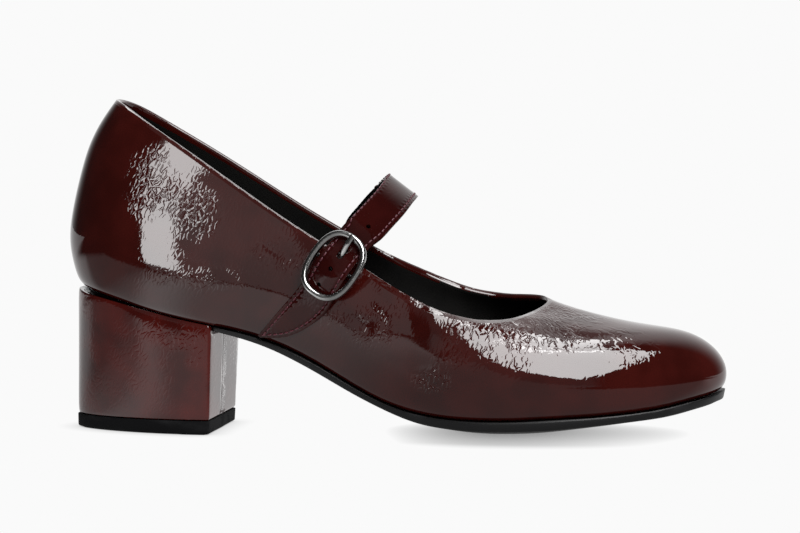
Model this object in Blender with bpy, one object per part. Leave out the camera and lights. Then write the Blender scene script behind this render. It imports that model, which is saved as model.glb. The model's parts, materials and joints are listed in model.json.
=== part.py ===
"""Right Mary Jane pump: patent upper, block heel, instep strap and an oval buckle.

Row frame: +X to the toe, -Y the outer (buckle) side, +Y the inner side, +Z up, floor at z = 0.
All tables are in millimetres. In them x runs from the back of the heel to the tip of the toe;
`to_row` moves it so that the shoe's length is centred on the origin.
"""

import math

import bmesh
import bpy
import numpy as np

# ----------------------------------------------------------------------------- driving sizes, mm
LENGTH = 245.0  # back of the heel to the tip of the toe
WALL = 1.9  # patent leather and lining together
MARGIN = 7.0  # upper turned in under the last
GAP = 0.3  # between neighbouring pieces
SEAT_GAP = 0.6  # between the outsole and the heel's seat
INSOLE = 2.0
TOP_LIFT = 5.1
STRAP_WIDTH = 13.2
STRAP_THICK = 1.7
BREAST_TOP, BREAST_FOOT = 59.0, 57.6  # x of the heel's flat front, at the seat and at the floor
HEEL_BACK_TOP, HEEL_BACK_FOOT = 3.5, 2.1  # x of the heel's back
HEEL_HALF_TOP, HEEL_HALF_FOOT = 24.6, 22.3  # half widths

COLUMNS = 92  # around the shoe
WALL_ROWS = 15  # up the outside of the upper
INNER_ROWS = 7
HEEL_ROUND = 25  # points round the back of the heel

# One row for each station of the last, from the back of the heel to the tip of the toe.
# foot_x, outer, inner: plan of the feather edge. edge_z: its height. mid_z: the last's bottom on its centre line.
# out_* and in_*: the topline's point for that station on the outer and on the inner side.
STATIONS_COLUMNS = (
    "foot_x outer inner edge_z mid_z out_x out_y out_z in_x in_y in_z".split()
)
STATIONS = [
    (3.6, 0.0, 0.0, 54.6, 54.6, 18.6, 0.0, 122.6, 18.6, 0.0, 122.6),
    (6.8, 12.0, 12.0, 53.9, 53.4, 19.6, 7.2, 122.4, 19.6, 7.2, 122.0),
    (14.0, 19.9, 19.9, 52.1, 51.0, 23.8, 13.6, 120.8, 23.8, 13.6, 119.8),
    (26.0, 24.3, 24.2, 48.7, 47.4, 33.0, 19.0, 115.2, 33.0, 18.9, 114.0),
    (42.0, 25.3, 25.1, 44.1, 42.7, 46.0, 22.6, 106.8, 46.0, 22.4, 105.9),
    (60.0, 25.4, 23.6, 40.4, 39.3, 61.5, 25.2, 96.6, 61.5, 25.0, 96.1),
    (80.0, 25.7, 20.8, 35.6, 34.3, 80.0, 27.7, 84.4, 80.2, 26.8, 84.1),
    (100.0, 26.9, 19.6, 26.6, 24.9, 98.5, 29.9, 73.0, 99.0, 28.0, 73.0),
    (120.0, 29.9, 22.4, 15.8, 13.4, 116.0, 31.5, 63.1, 117.0, 28.8, 63.4),
    (138.0, 34.3, 28.4, 10.6, 6.6, 131.0, 31.6, 54.9, 132.3, 28.7, 56.3),
    (154.0, 37.3, 33.9, 9.3, 4.6, 143.5, 29.3, 48.9, 145.0, 27.4, 51.4),
    (170.0, 37.4, 36.5, 9.3, 4.7, 154.0, 25.0, 45.6, 155.0, 25.0, 49.7),
    (186.0, 35.6, 36.2, 10.2, 5.9, 162.5, 19.6, 44.3, 163.0, 21.9, 49.5),
    (200.0, 32.3, 34.3, 10.9, 7.6, 168.7, 14.0, 44.5, 169.0, 18.8, 49.8),
    (213.0, 27.8, 30.9, 12.0, 9.6, 173.2, 8.8, 45.4, 173.3, 15.6, 50.0),
    (225.0, 21.8, 26.0, 13.6, 12.0, 176.3, 4.0, 46.6, 176.4, 12.4, 49.9),
    (235.0, 14.2, 19.6, 15.7, 14.8, 178.0, 0.0, 47.7, 178.0, 9.2, 49.6),
    (241.0, 6.9, 12.8, 17.1, 16.7, 178.7, -2.4, 48.3, 178.7, 6.8, 49.2),
    (243.6, -3.0, 3.0, 17.9, 17.9, 178.9, -4.6, 48.8, 178.9, 4.6, 48.8),
]

# How the wall runs from the feather edge to the topline, at the named places round the last.
# station: row of STATIONS, negative on the outer side. Five points each: in_n is the share of the way
# to the topline in plan, up_n the share of the rise, out_n the bulge in mm beyond that.
WALL_COLUMNS = "station in_1 in_2 in_3 in_4 in_5 up_1 up_2 up_3 up_4 up_5 out_1 out_2 out_3 out_4 out_5".split()
WALL_SHAPE = {
    "heel back": (0, 0, 0.0, 0.12, 0.38, 0.68, 0.05, 0.20, 0.40, 0.63, 0.84, 1.0, 4.5, 4.1, 4.3, 4.3),
    "heel outer": (-4, 0, 0.0, 0.12, 0.38, 0.68, 0.05, 0.20, 0.40, 0.63, 0.84, 1.2, 4.2, 4.6, 3.2, 1.2),
    "shank outer": (-7, 0, 0.0, 0.12, 0.38, 0.68, 0.06, 0.22, 0.43, 0.65, 0.84, 1.6, 4.6, 6.0, 4.8, 2.6),
    "ball outer": (-10, 0, 0.0, 0.12, 0.38, 0.68, 0.07, 0.26, 0.50, 0.72, 0.88, 1.6, 4.2, 5.4, 4.4, 2.2),
    "toe side outer": (-14, 0, 0.0, 0.13, 0.40, 0.69, 0.08, 0.35, 0.70, 0.83, 0.91, 1.5, 3.0, 1.6, 0.6, 0.2),
    "toe tip": (18, 0, 0.0, 0.16, 0.41, 0.70, 0.08, 0.33, 0.69, 0.725, 0.83, 1.8, 3.0, 0.0, 0.0, 0.0),
    "toe side inner": (14, 0, 0.0, 0.13, 0.40, 0.69, 0.08, 0.30, 0.57, 0.68, 0.82, 1.5, 3.2, 2.0, 0.6, 0.2),
    "ball inner": (11, 0, 0.0, 0.12, 0.38, 0.68, 0.07, 0.26, 0.50, 0.74, 0.90, 1.6, 4.0, 5.2, 4.4, 2.2),
    "waist inner": (7, 0, 0.0, 0.12, 0.38, 0.68, 0.06, 0.22, 0.43, 0.65, 0.84, 3.0, 7.4, 9.4, 8.0, 4.6),
    "heel inner": (4, 0, 0.0, 0.12, 0.38, 0.68, 0.05, 0.20, 0.40, 0.63, 0.84, 1.2, 4.2, 4.6, 3.2, 1.2),
}

# The strap's free end and buckle stretch, in side view over the outer quarter. run: distance from the tip along
# its rear edge. x, z: that edge. slant: slope of its width direction below the x axis, degrees.
# width: rear edge to front edge. height: its outer face above the quarter.
STRAP_END_COLUMNS = "run x z slant width height".split()
STRAP_END = [
    (0.0, 77.7, 38.2, 43.5, 0.9, 2.0),
    (1.5, 78.8, 39.3, 43.5, 2.6, 2.0),
    (4.0, 80.5, 41.1, 43.5, 5.5, 2.0),
    (8.0, 83.2, 44.0, 43.2, 8.6, 2.0),
    (13.0, 86.6, 47.6, 43.0, 11.0, 2.0),
    (19.0, 90.7, 51.9, 41.5, 12.5, 2.05),
    (24.0, 94.0, 55.6, 40.0, 13.2, 2.5),
]
# The same strap over the instep, to the inner topline: centre of its outer face and slant.
STRAP_ARCH_COLUMNS = "x y z slant".split()
STRAP_ARCH = [
    (117.0, -31.2, 76.4, 33.0),
    (120.4, -26.2, 80.5, 34.0),
    (123.3, -20.8, 84.3, 35.0),
    (125.4, -14.3, 87.8, 36.0),
    (126.3, -7.0, 90.2, 37.0),
    (126.2, 1.0, 91.2, 37.0),
    (123.6, 8.2, 90.0, 36.0),
    (119.8, 14.8, 87.2, 35.0),
    (114.6, 21.0, 82.9, 34.0),
    (109.0, 25.9, 77.2, 33.0),
]
STRAP_INNER_ENDS = (98.6, 109.9)  # x of the strap's edges at the inner topline

# The buckle lies over the outer quarter. Its own frame: u up along the strap, v towards the toe, h away from the foot.
BUCKLE_X, BUCKLE_Z, BUCKLE_SLANT = 106.9, 62.6, 34.0
RING_U, RING_V, RING_H = 11.9, 8.6, 5.2  # half length, half width and height of the wire's centre line
RING_POWER = 2.5
BAR_R, BAR_H = 0.8, 2.6
# Outer face of the strap inside the buckle, where it rises over the bar: u, its height h on the strap's
# centre line, and droop, how much lower its edges lie.
STRAP_IN_BUCKLE_COLUMNS = "u h droop".split()
STRAP_IN_BUCKLE = [
    (-9.8, 3.25, 0.15),
    (-7.6, 4.15, 0.85),
    (-4.0, 5.85, 0.7),
    (0.0, 6.55, 0.3),
    (3.4, 6.4, 0.5),
    (7.6, 4.4, 1.05),
    (9.9, 3.35, 0.25),
    (12.8, 2.9, 0.0),
]
STRAP_WIDTH_IN_BUCKLE = 12.6
PRONG_WIDE, PRONG_THICK = 1.8, 0.8
# Centre line of the prong past its loop: u, h.
PRONG = [(-0.3, 4.07), (1.2, 4.02), (2.6, 4.0), (4.0, 4.2), (5.6, 4.95), (7.4, 5.95), (9.2, 6.85), (11.2, 7.3), (12.7, 7.22)]


def column(table, names, key):
    return np.array([row[names.index(key)] for row in table], float)


def to_row(points):
    """Table millimetres to row metres."""
    points = np.asarray(points, float)
    return (points - np.array([LENGTH / 2, 0.0, 0.0])) * 0.001


# ----------------------------------------------------------------------------- splines
class Spline:
    """C2 cubic through rows of values at the given knots, closed or natural."""

    def __init__(self, knots, values, period=None):
        self.period = period
        self.t = np.asarray(knots, float)
        v = np.asarray(values, float)
        self.v = v.reshape(len(v), -1)
        if period is not None:
            self.t = np.append(self.t, self.t[0] + period)
            self.v = np.vstack([self.v, self.v[:1]])
        n = len(self.t)
        h = np.diff(self.t)
        slope = np.diff(self.v, axis=0) / h[:, None]
        a = np.zeros((n, n))
        r = np.zeros_like(self.v)
        for i in range(1, n - 1):
            a[i, i - 1], a[i, i], a[i, i + 1] = h[i - 1], 2 * (h[i - 1] + h[i]), h[i]
            r[i] = 6 * (slope[i] - slope[i - 1])
        if period is None:
            a[0, 0] = a[-1, -1] = 1.0
        else:
            a[0, 0], a[0, -1] = 1.0, -1.0
            a[-1, 0], a[-1, 1] = 2 * h[0], h[0]
            a[-1, -2], a[-1, -1] = h[-1], 2 * h[-1]
            r[-1] = 6 * (slope[0] - slope[-1])
        self.m = np.linalg.solve(a, r)

    def __call__(self, t):
        t = np.atleast_1d(np.asarray(t, float))
        if self.period is not None:
            t = self.t[0] + np.mod(t - self.t[0], self.period)
        else:
            t = np.clip(t, self.t[0], self.t[-1])
        i = np.clip(np.searchsorted(self.t, t, side="right") - 1, 0, len(self.t) - 2)
        h = self.t[i + 1] - self.t[i]
        a = ((self.t[i + 1] - t) / h)[:, None]
        b = ((t - self.t[i]) / h)[:, None]
        h = h[:, None]
        return (
            a * self.v[i]
            + b * self.v[i + 1]
            + ((a**3 - a) * self.m[i] + (b**3 - b) * self.m[i + 1]) * h * h / 6
        )


def bspline_rows(control, t):
    """Clamped cubic B-spline over axis 0 of control (n, ..., 3), at parameters t in 0..1."""
    n = len(control)
    knots = np.concatenate([[0.0] * 3, np.linspace(0, 1, n - 2), [1.0] * 3])
    t = np.clip(np.asarray(t, float), 0.0, 1.0 - 1e-9)
    basis = np.array(
        [[1.0 if knots[i] <= u < knots[i + 1] else 0.0 for i in range(len(knots) - 1)] for u in t]
    )
    for degree in (1, 2, 3):
        nxt = np.zeros((len(t), basis.shape[1] - 1))
        for i in range(nxt.shape[1]):
            left = knots[i + degree] - knots[i]
            right = knots[i + degree + 1] - knots[i + 1]
            if left > 0:
                nxt[:, i] += (t - knots[i]) / left * basis[:, i]
            if right > 0:
                nxt[:, i] += (knots[i + degree + 1] - t) / right * basis[:, i + 1]
        basis = nxt
    return np.tensordot(basis[:, :n], control, axes=(1, 0))


# ----------------------------------------------------------------------------- the last
class Last:
    """The closed loops of the feather edge and the topline, and the wall between them."""

    def __init__(self):
        c = {k: column(STATIONS, STATIONS_COLUMNS, k) for k in STATIONS_COLUMNS}
        n = len(STATIONS)
        outer = range(0, n)
        inner = range(n - 2, 0, -1)
        foot, top, station = [], [], []
        for i in outer:
            y = -c["outer"][i]
            foot.append((c["foot_x"][i], y, c["edge_z"][i]))
            top.append((c["out_x"][i], -c["out_y"][i], c["out_z"][i]))
            station.append(-i if i < n - 1 else n - 1)
        for i in inner:
            foot.append((c["foot_x"][i], c["inner"][i], c["edge_z"][i]))
            top.append((c["in_x"][i], c["in_y"][i], c["in_z"][i]))
            station.append(i)
        self.foot_rows, self.top_rows = np.array(foot), np.array(top)
        steps = np.linalg.norm(
            np.diff(np.vstack([self.foot_rows, self.foot_rows[:1]])[:, :2], axis=0), axis=1
        )
        self.knots = np.concatenate([[0.0], np.cumsum(steps)[:-1]])
        self.period = float(steps.sum())
        self.foot = Spline(self.knots, self.foot_rows, self.period)
        self.top = Spline(self.knots, self.top_rows, self.period)
        at = {s: self.knots[k] for k, s in enumerate(station)}
        rows = sorted((at[row[0]], row[1:]) for row in WALL_SHAPE.values())
        self.shape = Spline([r[0] for r in rows], [r[1] for r in rows], self.period)
        self.bottom_edge = Spline(c["foot_x"], c["edge_z"])
        self.bottom_mid = Spline(c["foot_x"], c["mid_z"])
        self.half_outer = Spline(c["foot_x"], c["outer"])
        self.half_inner = Spline(c["foot_x"], c["inner"])

    def outward(self, s):
        """Unit plan normal of the feather edge."""
        d = self.foot(np.asarray(s) + 0.5) - self.foot(np.asarray(s) - 0.5)
        nrm = np.stack([d[:, 1], -d[:, 0]], axis=1)
        nrm /= np.linalg.norm(nrm, axis=1)[:, None]
        middle = np.array([LENGTH / 2, 0.0])
        flip = np.sign(((self.foot(s)[:, :2] - middle) * nrm).sum(axis=1).sum())
        return np.c_[nrm * flip, np.zeros(len(nrm))]

    def control(self, s):
        """Control points of the wall's meridians, (7, len(s), 3)."""
        s = np.atleast_1d(s)
        foot, top, out = self.foot(s), self.top(s), self.outward(s)
        shape = self.shape(s)
        control = [foot]
        for j in range(5):
            into, up, bulge = shape[:, j], shape[:, 5 + j], shape[:, 10 + j]
            point = foot.copy()
            point[:, :2] += into[:, None] * (top - foot)[:, :2]
            point[:, 2] += up * (top - foot)[:, 2]
            control.append(point + bulge[:, None] * out)
        control.append(top)
        return np.array(control)

    def wall(self, s, t):
        """Outer surface, (len(t), len(s), 3): t from the feather edge, 0, to the topline, 1."""
        return bspline_rows(self.control(s), t)

    def on_wall(self, s, t):
        """Outer surface at pairs (s, t), and its outward unit normal."""

        def point(s, t):
            control = self.control(s)
            basis = bspline_rows(np.eye(len(control)), t)
            return np.einsum("nj,jnk->nk", basis, control)

        step = 0.002
        here = point(s, t)
        along = point(s + 0.5, t) - point(s - 0.5, t)
        up = point(s, np.minimum(t + step, 1.0)) - point(s, np.maximum(t - step, 0.0))
        nrm = np.cross(up, along)
        nrm /= np.linalg.norm(nrm, axis=1)[:, None]
        out = self.outward(s)
        return here, nrm * np.sign((nrm * out).sum(axis=1))[:, None]

    def outer_side(self, x, z):
        """Points and normals of the outer quarter that show at (x, z) in side view."""
        x, z = np.asarray(x, float).ravel(), np.asarray(z, float).ravel()
        s_grid = np.linspace(self.knots[2], self.knots[13], 90)
        t_grid = np.linspace(0.0, 1.0, 41)
        grid = self.wall(s_grid, t_grid)
        miss = (grid[None, :, :, 0] - x[:, None, None]) ** 2 + (grid[None, :, :, 2] - z[:, None, None]) ** 2
        best = miss.reshape(len(x), -1).argmin(axis=1)
        t, s = t_grid[best // len(s_grid)].copy(), s_grid[best % len(s_grid)].copy()
        want = np.c_[x, z]
        for _ in range(12):
            here, _n = self.on_wall(s, t)
            d_s = (self.on_wall(s + 0.1, t)[0] - here)[:, [0, 2]] / 0.1
            d_t = (self.on_wall(s, t + 0.001)[0] - here)[:, [0, 2]] / 0.001
            d_t2 = (here - self.on_wall(s, t - 0.001)[0])[:, [0, 2]] / 0.001
            d_t = np.where((t > 0.99)[:, None], d_t2, d_t)
            gap = want - here[:, [0, 2]]
            det = d_s[:, 0] * d_t[:, 1] - d_s[:, 1] * d_t[:, 0]
            s = s + np.clip((gap[:, 0] * d_t[:, 1] - gap[:, 1] * d_t[:, 0]) / det, -5, 5)
            t = np.clip(t + np.clip((d_s[:, 0] * gap[:, 1] - d_s[:, 1] * gap[:, 0]) / det, -0.1, 0.1), 0.0, 1.0)
        return self.on_wall(s, t)

    def bottom(self, x, y):
        """Height of the last's underside at a plan point inside the feather edge."""
        x, y = np.broadcast_arrays(np.asarray(x, float), np.asarray(y, float))
        flat = x.ravel()
        edge = self.bottom_edge(flat)[:, 0].reshape(x.shape)
        mid = self.bottom_mid(flat)[:, 0].reshape(x.shape)
        half = np.where(
            y < 0,
            self.half_outer(flat)[:, 0].reshape(x.shape),
            self.half_inner(flat)[:, 0].reshape(x.shape),
        )
        share = np.clip(np.abs(y) / np.maximum(np.abs(half), 3.0), 0.0, 1.15)
        return mid + (edge - mid) * share**1.8


LAST = Last()


def even_columns(count):
    """Parameters round the last, evenly spaced on a loop half way between sole and topline."""
    s = np.linspace(0.0, LAST.period, 1441)
    loop = LAST.wall(s, [0.25])[0]
    run = np.concatenate([[0.0], np.cumsum(np.linalg.norm(np.diff(loop, axis=0), axis=1))])
    return np.interp(np.linspace(0.0, run[-1], count, endpoint=False), run, s)


# ----------------------------------------------------------------------------- meshes
def make_object(name, points, faces):
    mesh = bpy.data.meshes.new(name)
    mesh.from_pydata([tuple(p) for p in to_row(points)], [], faces)
    work = bmesh.new()
    work.from_mesh(mesh)
    bmesh.ops.recalc_face_normals(work, faces=work.faces)
    bmesh.ops.triangulate(work, faces=work.faces)
    work.to_mesh(mesh)
    work.free()
    mesh.update()
    obj = bpy.data.objects.new(name, mesh)
    bpy.context.scene.collection.objects.link(obj)
    return obj


def torus_faces(rows, columns):
    faces = []
    for i in range(rows):
        for k in range(columns):
            a, b = i * columns + k, i * columns + (k + 1) % columns
            c, d = ((i + 1) % rows) * columns + (k + 1) % columns, ((i + 1) % rows) * columns + k
            faces.append((a, b, c, d))
    return faces


def surface_normals(grid):
    """Outward normals of a wall grid (rows, columns, 3), closed round the columns."""
    along = np.roll(grid, -1, axis=1) - np.roll(grid, 1, axis=1)
    up = np.gradient(grid, axis=0)
    nrm = np.cross(along, up)
    nrm /= np.linalg.norm(nrm, axis=2)[:, :, None]
    centre = grid.mean(axis=(0, 1))
    if ((grid - centre) * nrm).sum() < 0:
        nrm = -nrm
    return nrm


def make_upper():
    """Hollow shell: outer wall, rounded topline, inner wall, and the margin turned in under the last."""
    s = even_columns(COLUMNS)
    fine = np.linspace(0.0, 1.0, 61)
    outer = LAST.wall(s, fine)
    normal = surface_normals(outer)
    inner = outer - normal * WALL
    out_dir = LAST.outward(s)
    # rows of the outer wall at even distances up each meridian
    run = np.concatenate([np.zeros((1, len(s))), np.cumsum(np.linalg.norm(np.diff(outer, axis=0), axis=2), axis=0)])

    def rows_at(grid, shares):
        found = np.empty((len(shares), len(s), 3))
        for k in range(len(s)):
            for axis in range(3):
                found[:, k, axis] = np.interp(shares, run[:, k] / run[-1, k], grid[:, k, axis])
        return found

    first = 0.03
    outer_rows = rows_at(outer, np.linspace(first, 1.0, WALL_ROWS))
    inner_rows = rows_at(inner, np.linspace(1.0, 0.10, INNER_ROWS))
    rim_out, rim_in = outer_rows[-1], inner_rows[0]
    up = rows_at(outer, [1.0])[0] - rows_at(outer, [0.97])[0]
    up /= np.linalg.norm(up, axis=1)[:, None]
    rim = (rim_out + rim_in) / 2 + up * 0.35
    foot = LAST.foot(s)

    def under(distance, rise):
        plan = foot - out_dir * distance
        z = LAST.bottom(plan[:, 0], plan[:, 1]) + rise
        return np.c_[plan[:, :2], z]

    rows = [
        under(MARGIN, WALL * 0.5),
        under(MARGIN - 0.3, 0.0),
        under(MARGIN * 0.55, 0.0),
        under(1.2, 0.0),
        *outer_rows,
        rim,
        *inner_rows,
        under(WALL + 1.6, WALL),
        under(MARGIN - 0.3, WALL),
    ]
    rows = np.array(rows)
    return make_object("upper", rows.reshape(-1, 3), torus_faces(len(rows), len(s)))


def plate(layers, insets, shares, along, extra=()):
    """Grids of a sole-like plate, (rows, len(shares), 3) for each layer.

    layers: functions of (x, y) giving z. insets: functions of x giving how far inside the feather edge
    that layer ends. shares: where its lines run across, from the outer edge to the inner one.
    extra: x of added rows, where an outline has a step.
    """
    n = len(STATIONS)
    a = np.linspace(0.0, 1.0, along)
    s_outer = (0.35 * (0.5 - 0.5 * np.cos(np.pi * a)) + 0.65 * a) * LAST.knots[n - 1]
    inner_knots = np.concatenate([[LAST.period], LAST.knots[n - 1:][::-1]])
    s_inner = np.interp(s_outer, LAST.knots[:n], inner_knots)
    if len(extra):
        dense = np.linspace(LAST.knots[3], LAST.knots[6], 400)
        found = np.interp(extra, LAST.foot(dense)[:, 0], dense)
        dense_in = np.linspace(LAST.knots[-6], LAST.knots[-3], 400)
        found_in = np.interp(extra, LAST.foot(dense_in)[::-1, 0], dense_in[::-1])
        clear = np.min(np.abs(s_outer[:, None] - found[None, :]), axis=1) > 1.2
        s_outer, s_inner = s_outer[clear], s_inner[clear]
        order = np.argsort(np.concatenate([s_outer, found]))
        s_outer = np.concatenate([s_outer, found])[order]
        s_inner = np.concatenate([s_inner, found_in])[order]
    share = np.asarray(shares, float)
    grids = []
    for layer, inset in zip(layers, insets):
        sides = []
        for s in (s_outer, s_inner):
            foot = LAST.foot(s)
            sides.append((foot - LAST.outward(s) * inset(foot[:, 0])[:, None])[:, :2])
        plan = sides[0][:, None] + share[None, :, None] * (sides[1] - sides[0])[:, None]
        plan[-1] = plan[-1].mean(axis=0)
        plan[0] = plan[0].mean(axis=0)
        grids.append(np.dstack([plan, layer(plan[:, :, 0], plan[:, :, 1])]))
    return grids


def close_plate(grids):
    """Points and faces of the closed body between the first grid, on top, and the second."""
    along, wide = grids[0].shape[:2]
    count = along * wide
    points = np.vstack([g.reshape(-1, 3) for g in grids])
    faces = []
    for i in range(along - 1):
        for j in range(wide - 1):
            a, b = i * wide + j, i * wide + j + 1
            c, d = a + wide, b + wide
            faces.append((a, b, d, c))
            faces.append((a + count, c + count, d + count, b + count))
    rim = [i * wide for i in range(along)]
    rim += [(along - 1) * wide + j for j in range(1, wide)]
    rim += [i * wide + wide - 1 for i in range(along - 2, -1, -1)]
    rim += [j for j in range(wide - 2, 0, -1)]
    for k in range(len(rim)):
        a, b = rim[k], rim[(k + 1) % len(rim)]
        faces.append((a, b, b + count, a + count))
    return points, faces


def weld(obj, distance=0.00002):
    work = bmesh.new()
    work.from_mesh(obj.data)
    bmesh.ops.remove_doubles(work, verts=work.verts, dist=distance)
    bmesh.ops.dissolve_degenerate(work, edges=work.edges, dist=1e-6)
    bmesh.ops.recalc_face_normals(work, faces=work.faces)
    bmesh.ops.triangulate(work, faces=work.faces)
    work.to_mesh(obj.data)
    work.free()


def smooth_step(x, lo, hi):
    t = np.clip((x - lo) / (hi - lo), 0.0, 1.0)
    return t * t * (3 - 2 * t)


# Outsole along the shoe. thick: at its edge. drop: how far its underside lies below that edge on its lowest line.
SOLE_COLUMNS = "x thick drop".split()
SOLE = [
    (0, 2.0, 0.6),
    (20, 1.8, 1.0),
    (54, 1.4, 1.3),
    (62, 1.6, 1.5),
    (70, 1.9, 1.8),
    (80, 2.3, 2.3),
    (90, 2.8, 2.8),
    (100, 2.9, 3.2),
    (110, 2.7, 3.6),
    (120, 2.3, 4.2),
    (129, 2.7, 4.6),
    (138, 3.4, 5.0),
    (146, 3.4, 5.5),
    (154, 3.7, 5.7),
    (170, 3.7, 5.7),
    (178, 3.9, 5.1),
    (186, 3.9, 4.6),
    (193, 3.5, 4.3),
    (200, 3.2, 4.0),
    (213, 2.9, 3.4),
    (225, 3.1, 2.7),
    (235, 3.0, 1.6),
    (245, 2.7, 0.1),
]
sole_line = Spline(column(SOLE, SOLE_COLUMNS, "x"), [row[1:] for row in SOLE])
LOW_LINE, LOW_HALF = 7.7, 7.7  # y of the sole's lowest strip, and its half width
RIM = 2.4  # the heel's rim stands round the seat of the outsole


def sole_top(x, y):
    return LAST.bottom(x, y) - GAP - 0.1


def sole_bottom(x, y):
    """Underside of the outsole: a flat strip under the foot, rising to both edges, cut flat at the floor."""
    x, y = np.broadcast_arrays(np.asarray(x, float), np.asarray(y, float))
    flat = x.ravel()
    thick, drop = (sole_line(flat)[:, k].reshape(x.shape) for k in (0, 1))
    edge = LAST.bottom_edge(flat)[:, 0].reshape(x.shape) - GAP - 0.1 - thick
    outer = np.maximum(LAST.half_outer(flat)[:, 0].reshape(x.shape), 3.0)
    inner = np.maximum(LAST.half_inner(flat)[:, 0].reshape(x.shape), 3.0)
    low = np.minimum(LOW_LINE, 0.3 * inner)
    half = np.minimum(LOW_HALF, 0.2 * inner)
    width = np.where(y < low, outer + low, inner - low) - half
    share = np.clip((np.abs(y - low) - half) / np.maximum(width, 0.5), 0.0, 1.2)
    share = np.where(y < low, share, share**2.0)
    return np.maximum(edge - drop * (1.0 - share), 0.0)


def make_outsole():
    def inset_top(x):
        return RIM + 1.6 - (RIM + 2.2) * smooth_step(x, BREAST_TOP + 0.3, BREAST_TOP + 1.0)

    def inset_bottom(x):
        return inset_top(x) + 0.6 * smooth_step(x, BREAST_TOP + 0.3, BREAST_TOP + 1.0)

    steps = (BREAST_TOP + 0.25, BREAST_TOP + 1.05)
    shares = (0.0, 0.05, 0.16, 0.33, 0.52, 0.70, 0.85, 0.95, 1.0)
    grids = plate((sole_top, sole_bottom), (inset_top, inset_bottom), shares, 42, extra=steps)
    obj = make_object("outsole", *close_plate(grids))
    weld(obj)
    return obj


def make_insole():
    base = WALL + GAP + 0.15

    def low(x, y):
        return LAST.bottom(x, y) + base

    def high(x, y):
        return LAST.bottom(x, y) + base + INSOLE

    def inset_high(x):
        return np.full(len(x), WALL + 1.4)

    def inset_low(x):
        return np.full(len(x), WALL + 2.3)

    shares = (0.0, 0.08, 0.28, 0.5, 0.72, 0.92, 1.0)
    grids = plate((high, low), (inset_high, inset_low), shares, 32)
    obj = make_object("insole", *close_plate(grids))
    weld(obj)
    return obj


def heel_outline(share):
    """(share from back to breast, share of the half width) round a D: flat breast, round back.

    share: 0 at the floor, where the back is narrow, to 1 at the seat, where it is as full as the upper.
    """
    depth = 0.87 - 0.39 * share  # part of the heel's depth that its round back takes
    e_x, e_y = 2 / (1.60 + 0.52 * share), 2 / (1.86 + 0.26 * share)
    corner = 0.028
    turns = np.linspace(-math.pi / 2, math.pi / 2, HEEL_ROUND)
    back = [
        (depth * (1.0 - abs(math.cos(a)) ** e_x), math.copysign(abs(math.sin(a)) ** e_y, math.sin(a)))
        for a in turns
    ]
    side = [(depth + (1 - corner - depth) * t, 1.0) for t in (0.25, 0.5, 0.75, 1.0)]
    rounded = [
        (1 - corner + corner * math.sin(b), 1 - corner * 1.2 * (1 - math.cos(b)))
        for b in (math.pi / 6, math.pi / 3, math.pi / 2)
    ]
    loop = back + side + rounded + [(1.0, t) for t in (0.5, 0.0, -0.5)]
    loop += [(x, -y) for x, y in reversed(rounded)]
    loop += [(x, -y) for x, y in reversed(side)]
    return np.array(loop)


def heel_section(share):
    """Plan points of the heel at the given share of its height, and which of them are on the breast."""
    outline = heel_outline(share)
    back = HEEL_BACK_FOOT + (HEEL_BACK_TOP - HEEL_BACK_FOOT) * share
    front = BREAST_FOOT + (BREAST_TOP - BREAST_FOOT) * share
    half = HEEL_HALF_FOOT + (HEEL_HALF_TOP - HEEL_HALF_FOOT) * share
    return np.c_[back + outline[:, 0] * (front - back), outline[:, 1] * half], outline[:, 0] > 0.9999


def block(name, sections):
    """A closed body through plan loops with heights: the first and last are closed with a fan."""
    count = len(sections[0])
    points = [tuple(p) for loop in sections for p in loop]
    faces = []
    for i in range(len(sections) - 1):
        for k in range(count):
            a, b = i * count + k, i * count + (k + 1) % count
            faces.append((a, b, b + count, a + count))
    return points, faces, count


def cap_rings(points, faces, start, count, height, rings=(0.6, 0.25)):
    """Close a loop with rings that shrink to its middle, with heights from a function of (x, y)."""
    loop = np.array(points[start:start + count])
    centre = np.array([loop[:, 0].mean(), 0.0])
    previous = list(range(start, start + count))
    for share in rings:
        plan = centre + (loop[:, :2] - centre) * share
        z = height(plan[:, 0], plan[:, 1])
        base = len(points)
        points.extend(map(tuple, np.c_[plan, z]))
        ring = list(range(base, base + count))
        for k in range(count):
            faces.append((previous[k], previous[(k + 1) % count], ring[(k + 1) % count], ring[k]))
        previous = ring
    points.append((centre[0], centre[1], float(height(centre[:1], centre[1:])[0])))
    for k in range(count):
        faces.append((previous[k], previous[(k + 1) % count], len(points) - 1))


def heel_rim(plan):
    """Height of the heel's rim under the upper, and of its seat under the outsole."""
    x, y = plan[:, 0], plan[:, 1]
    seat = sole_bottom(x, y) - SEAT_GAP
    rim = LAST.bottom(x, y) - GAP - 1.7 * (1 - smooth_step(x, 2.0, 40.0))
    return seat, np.maximum(rim, seat)


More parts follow.
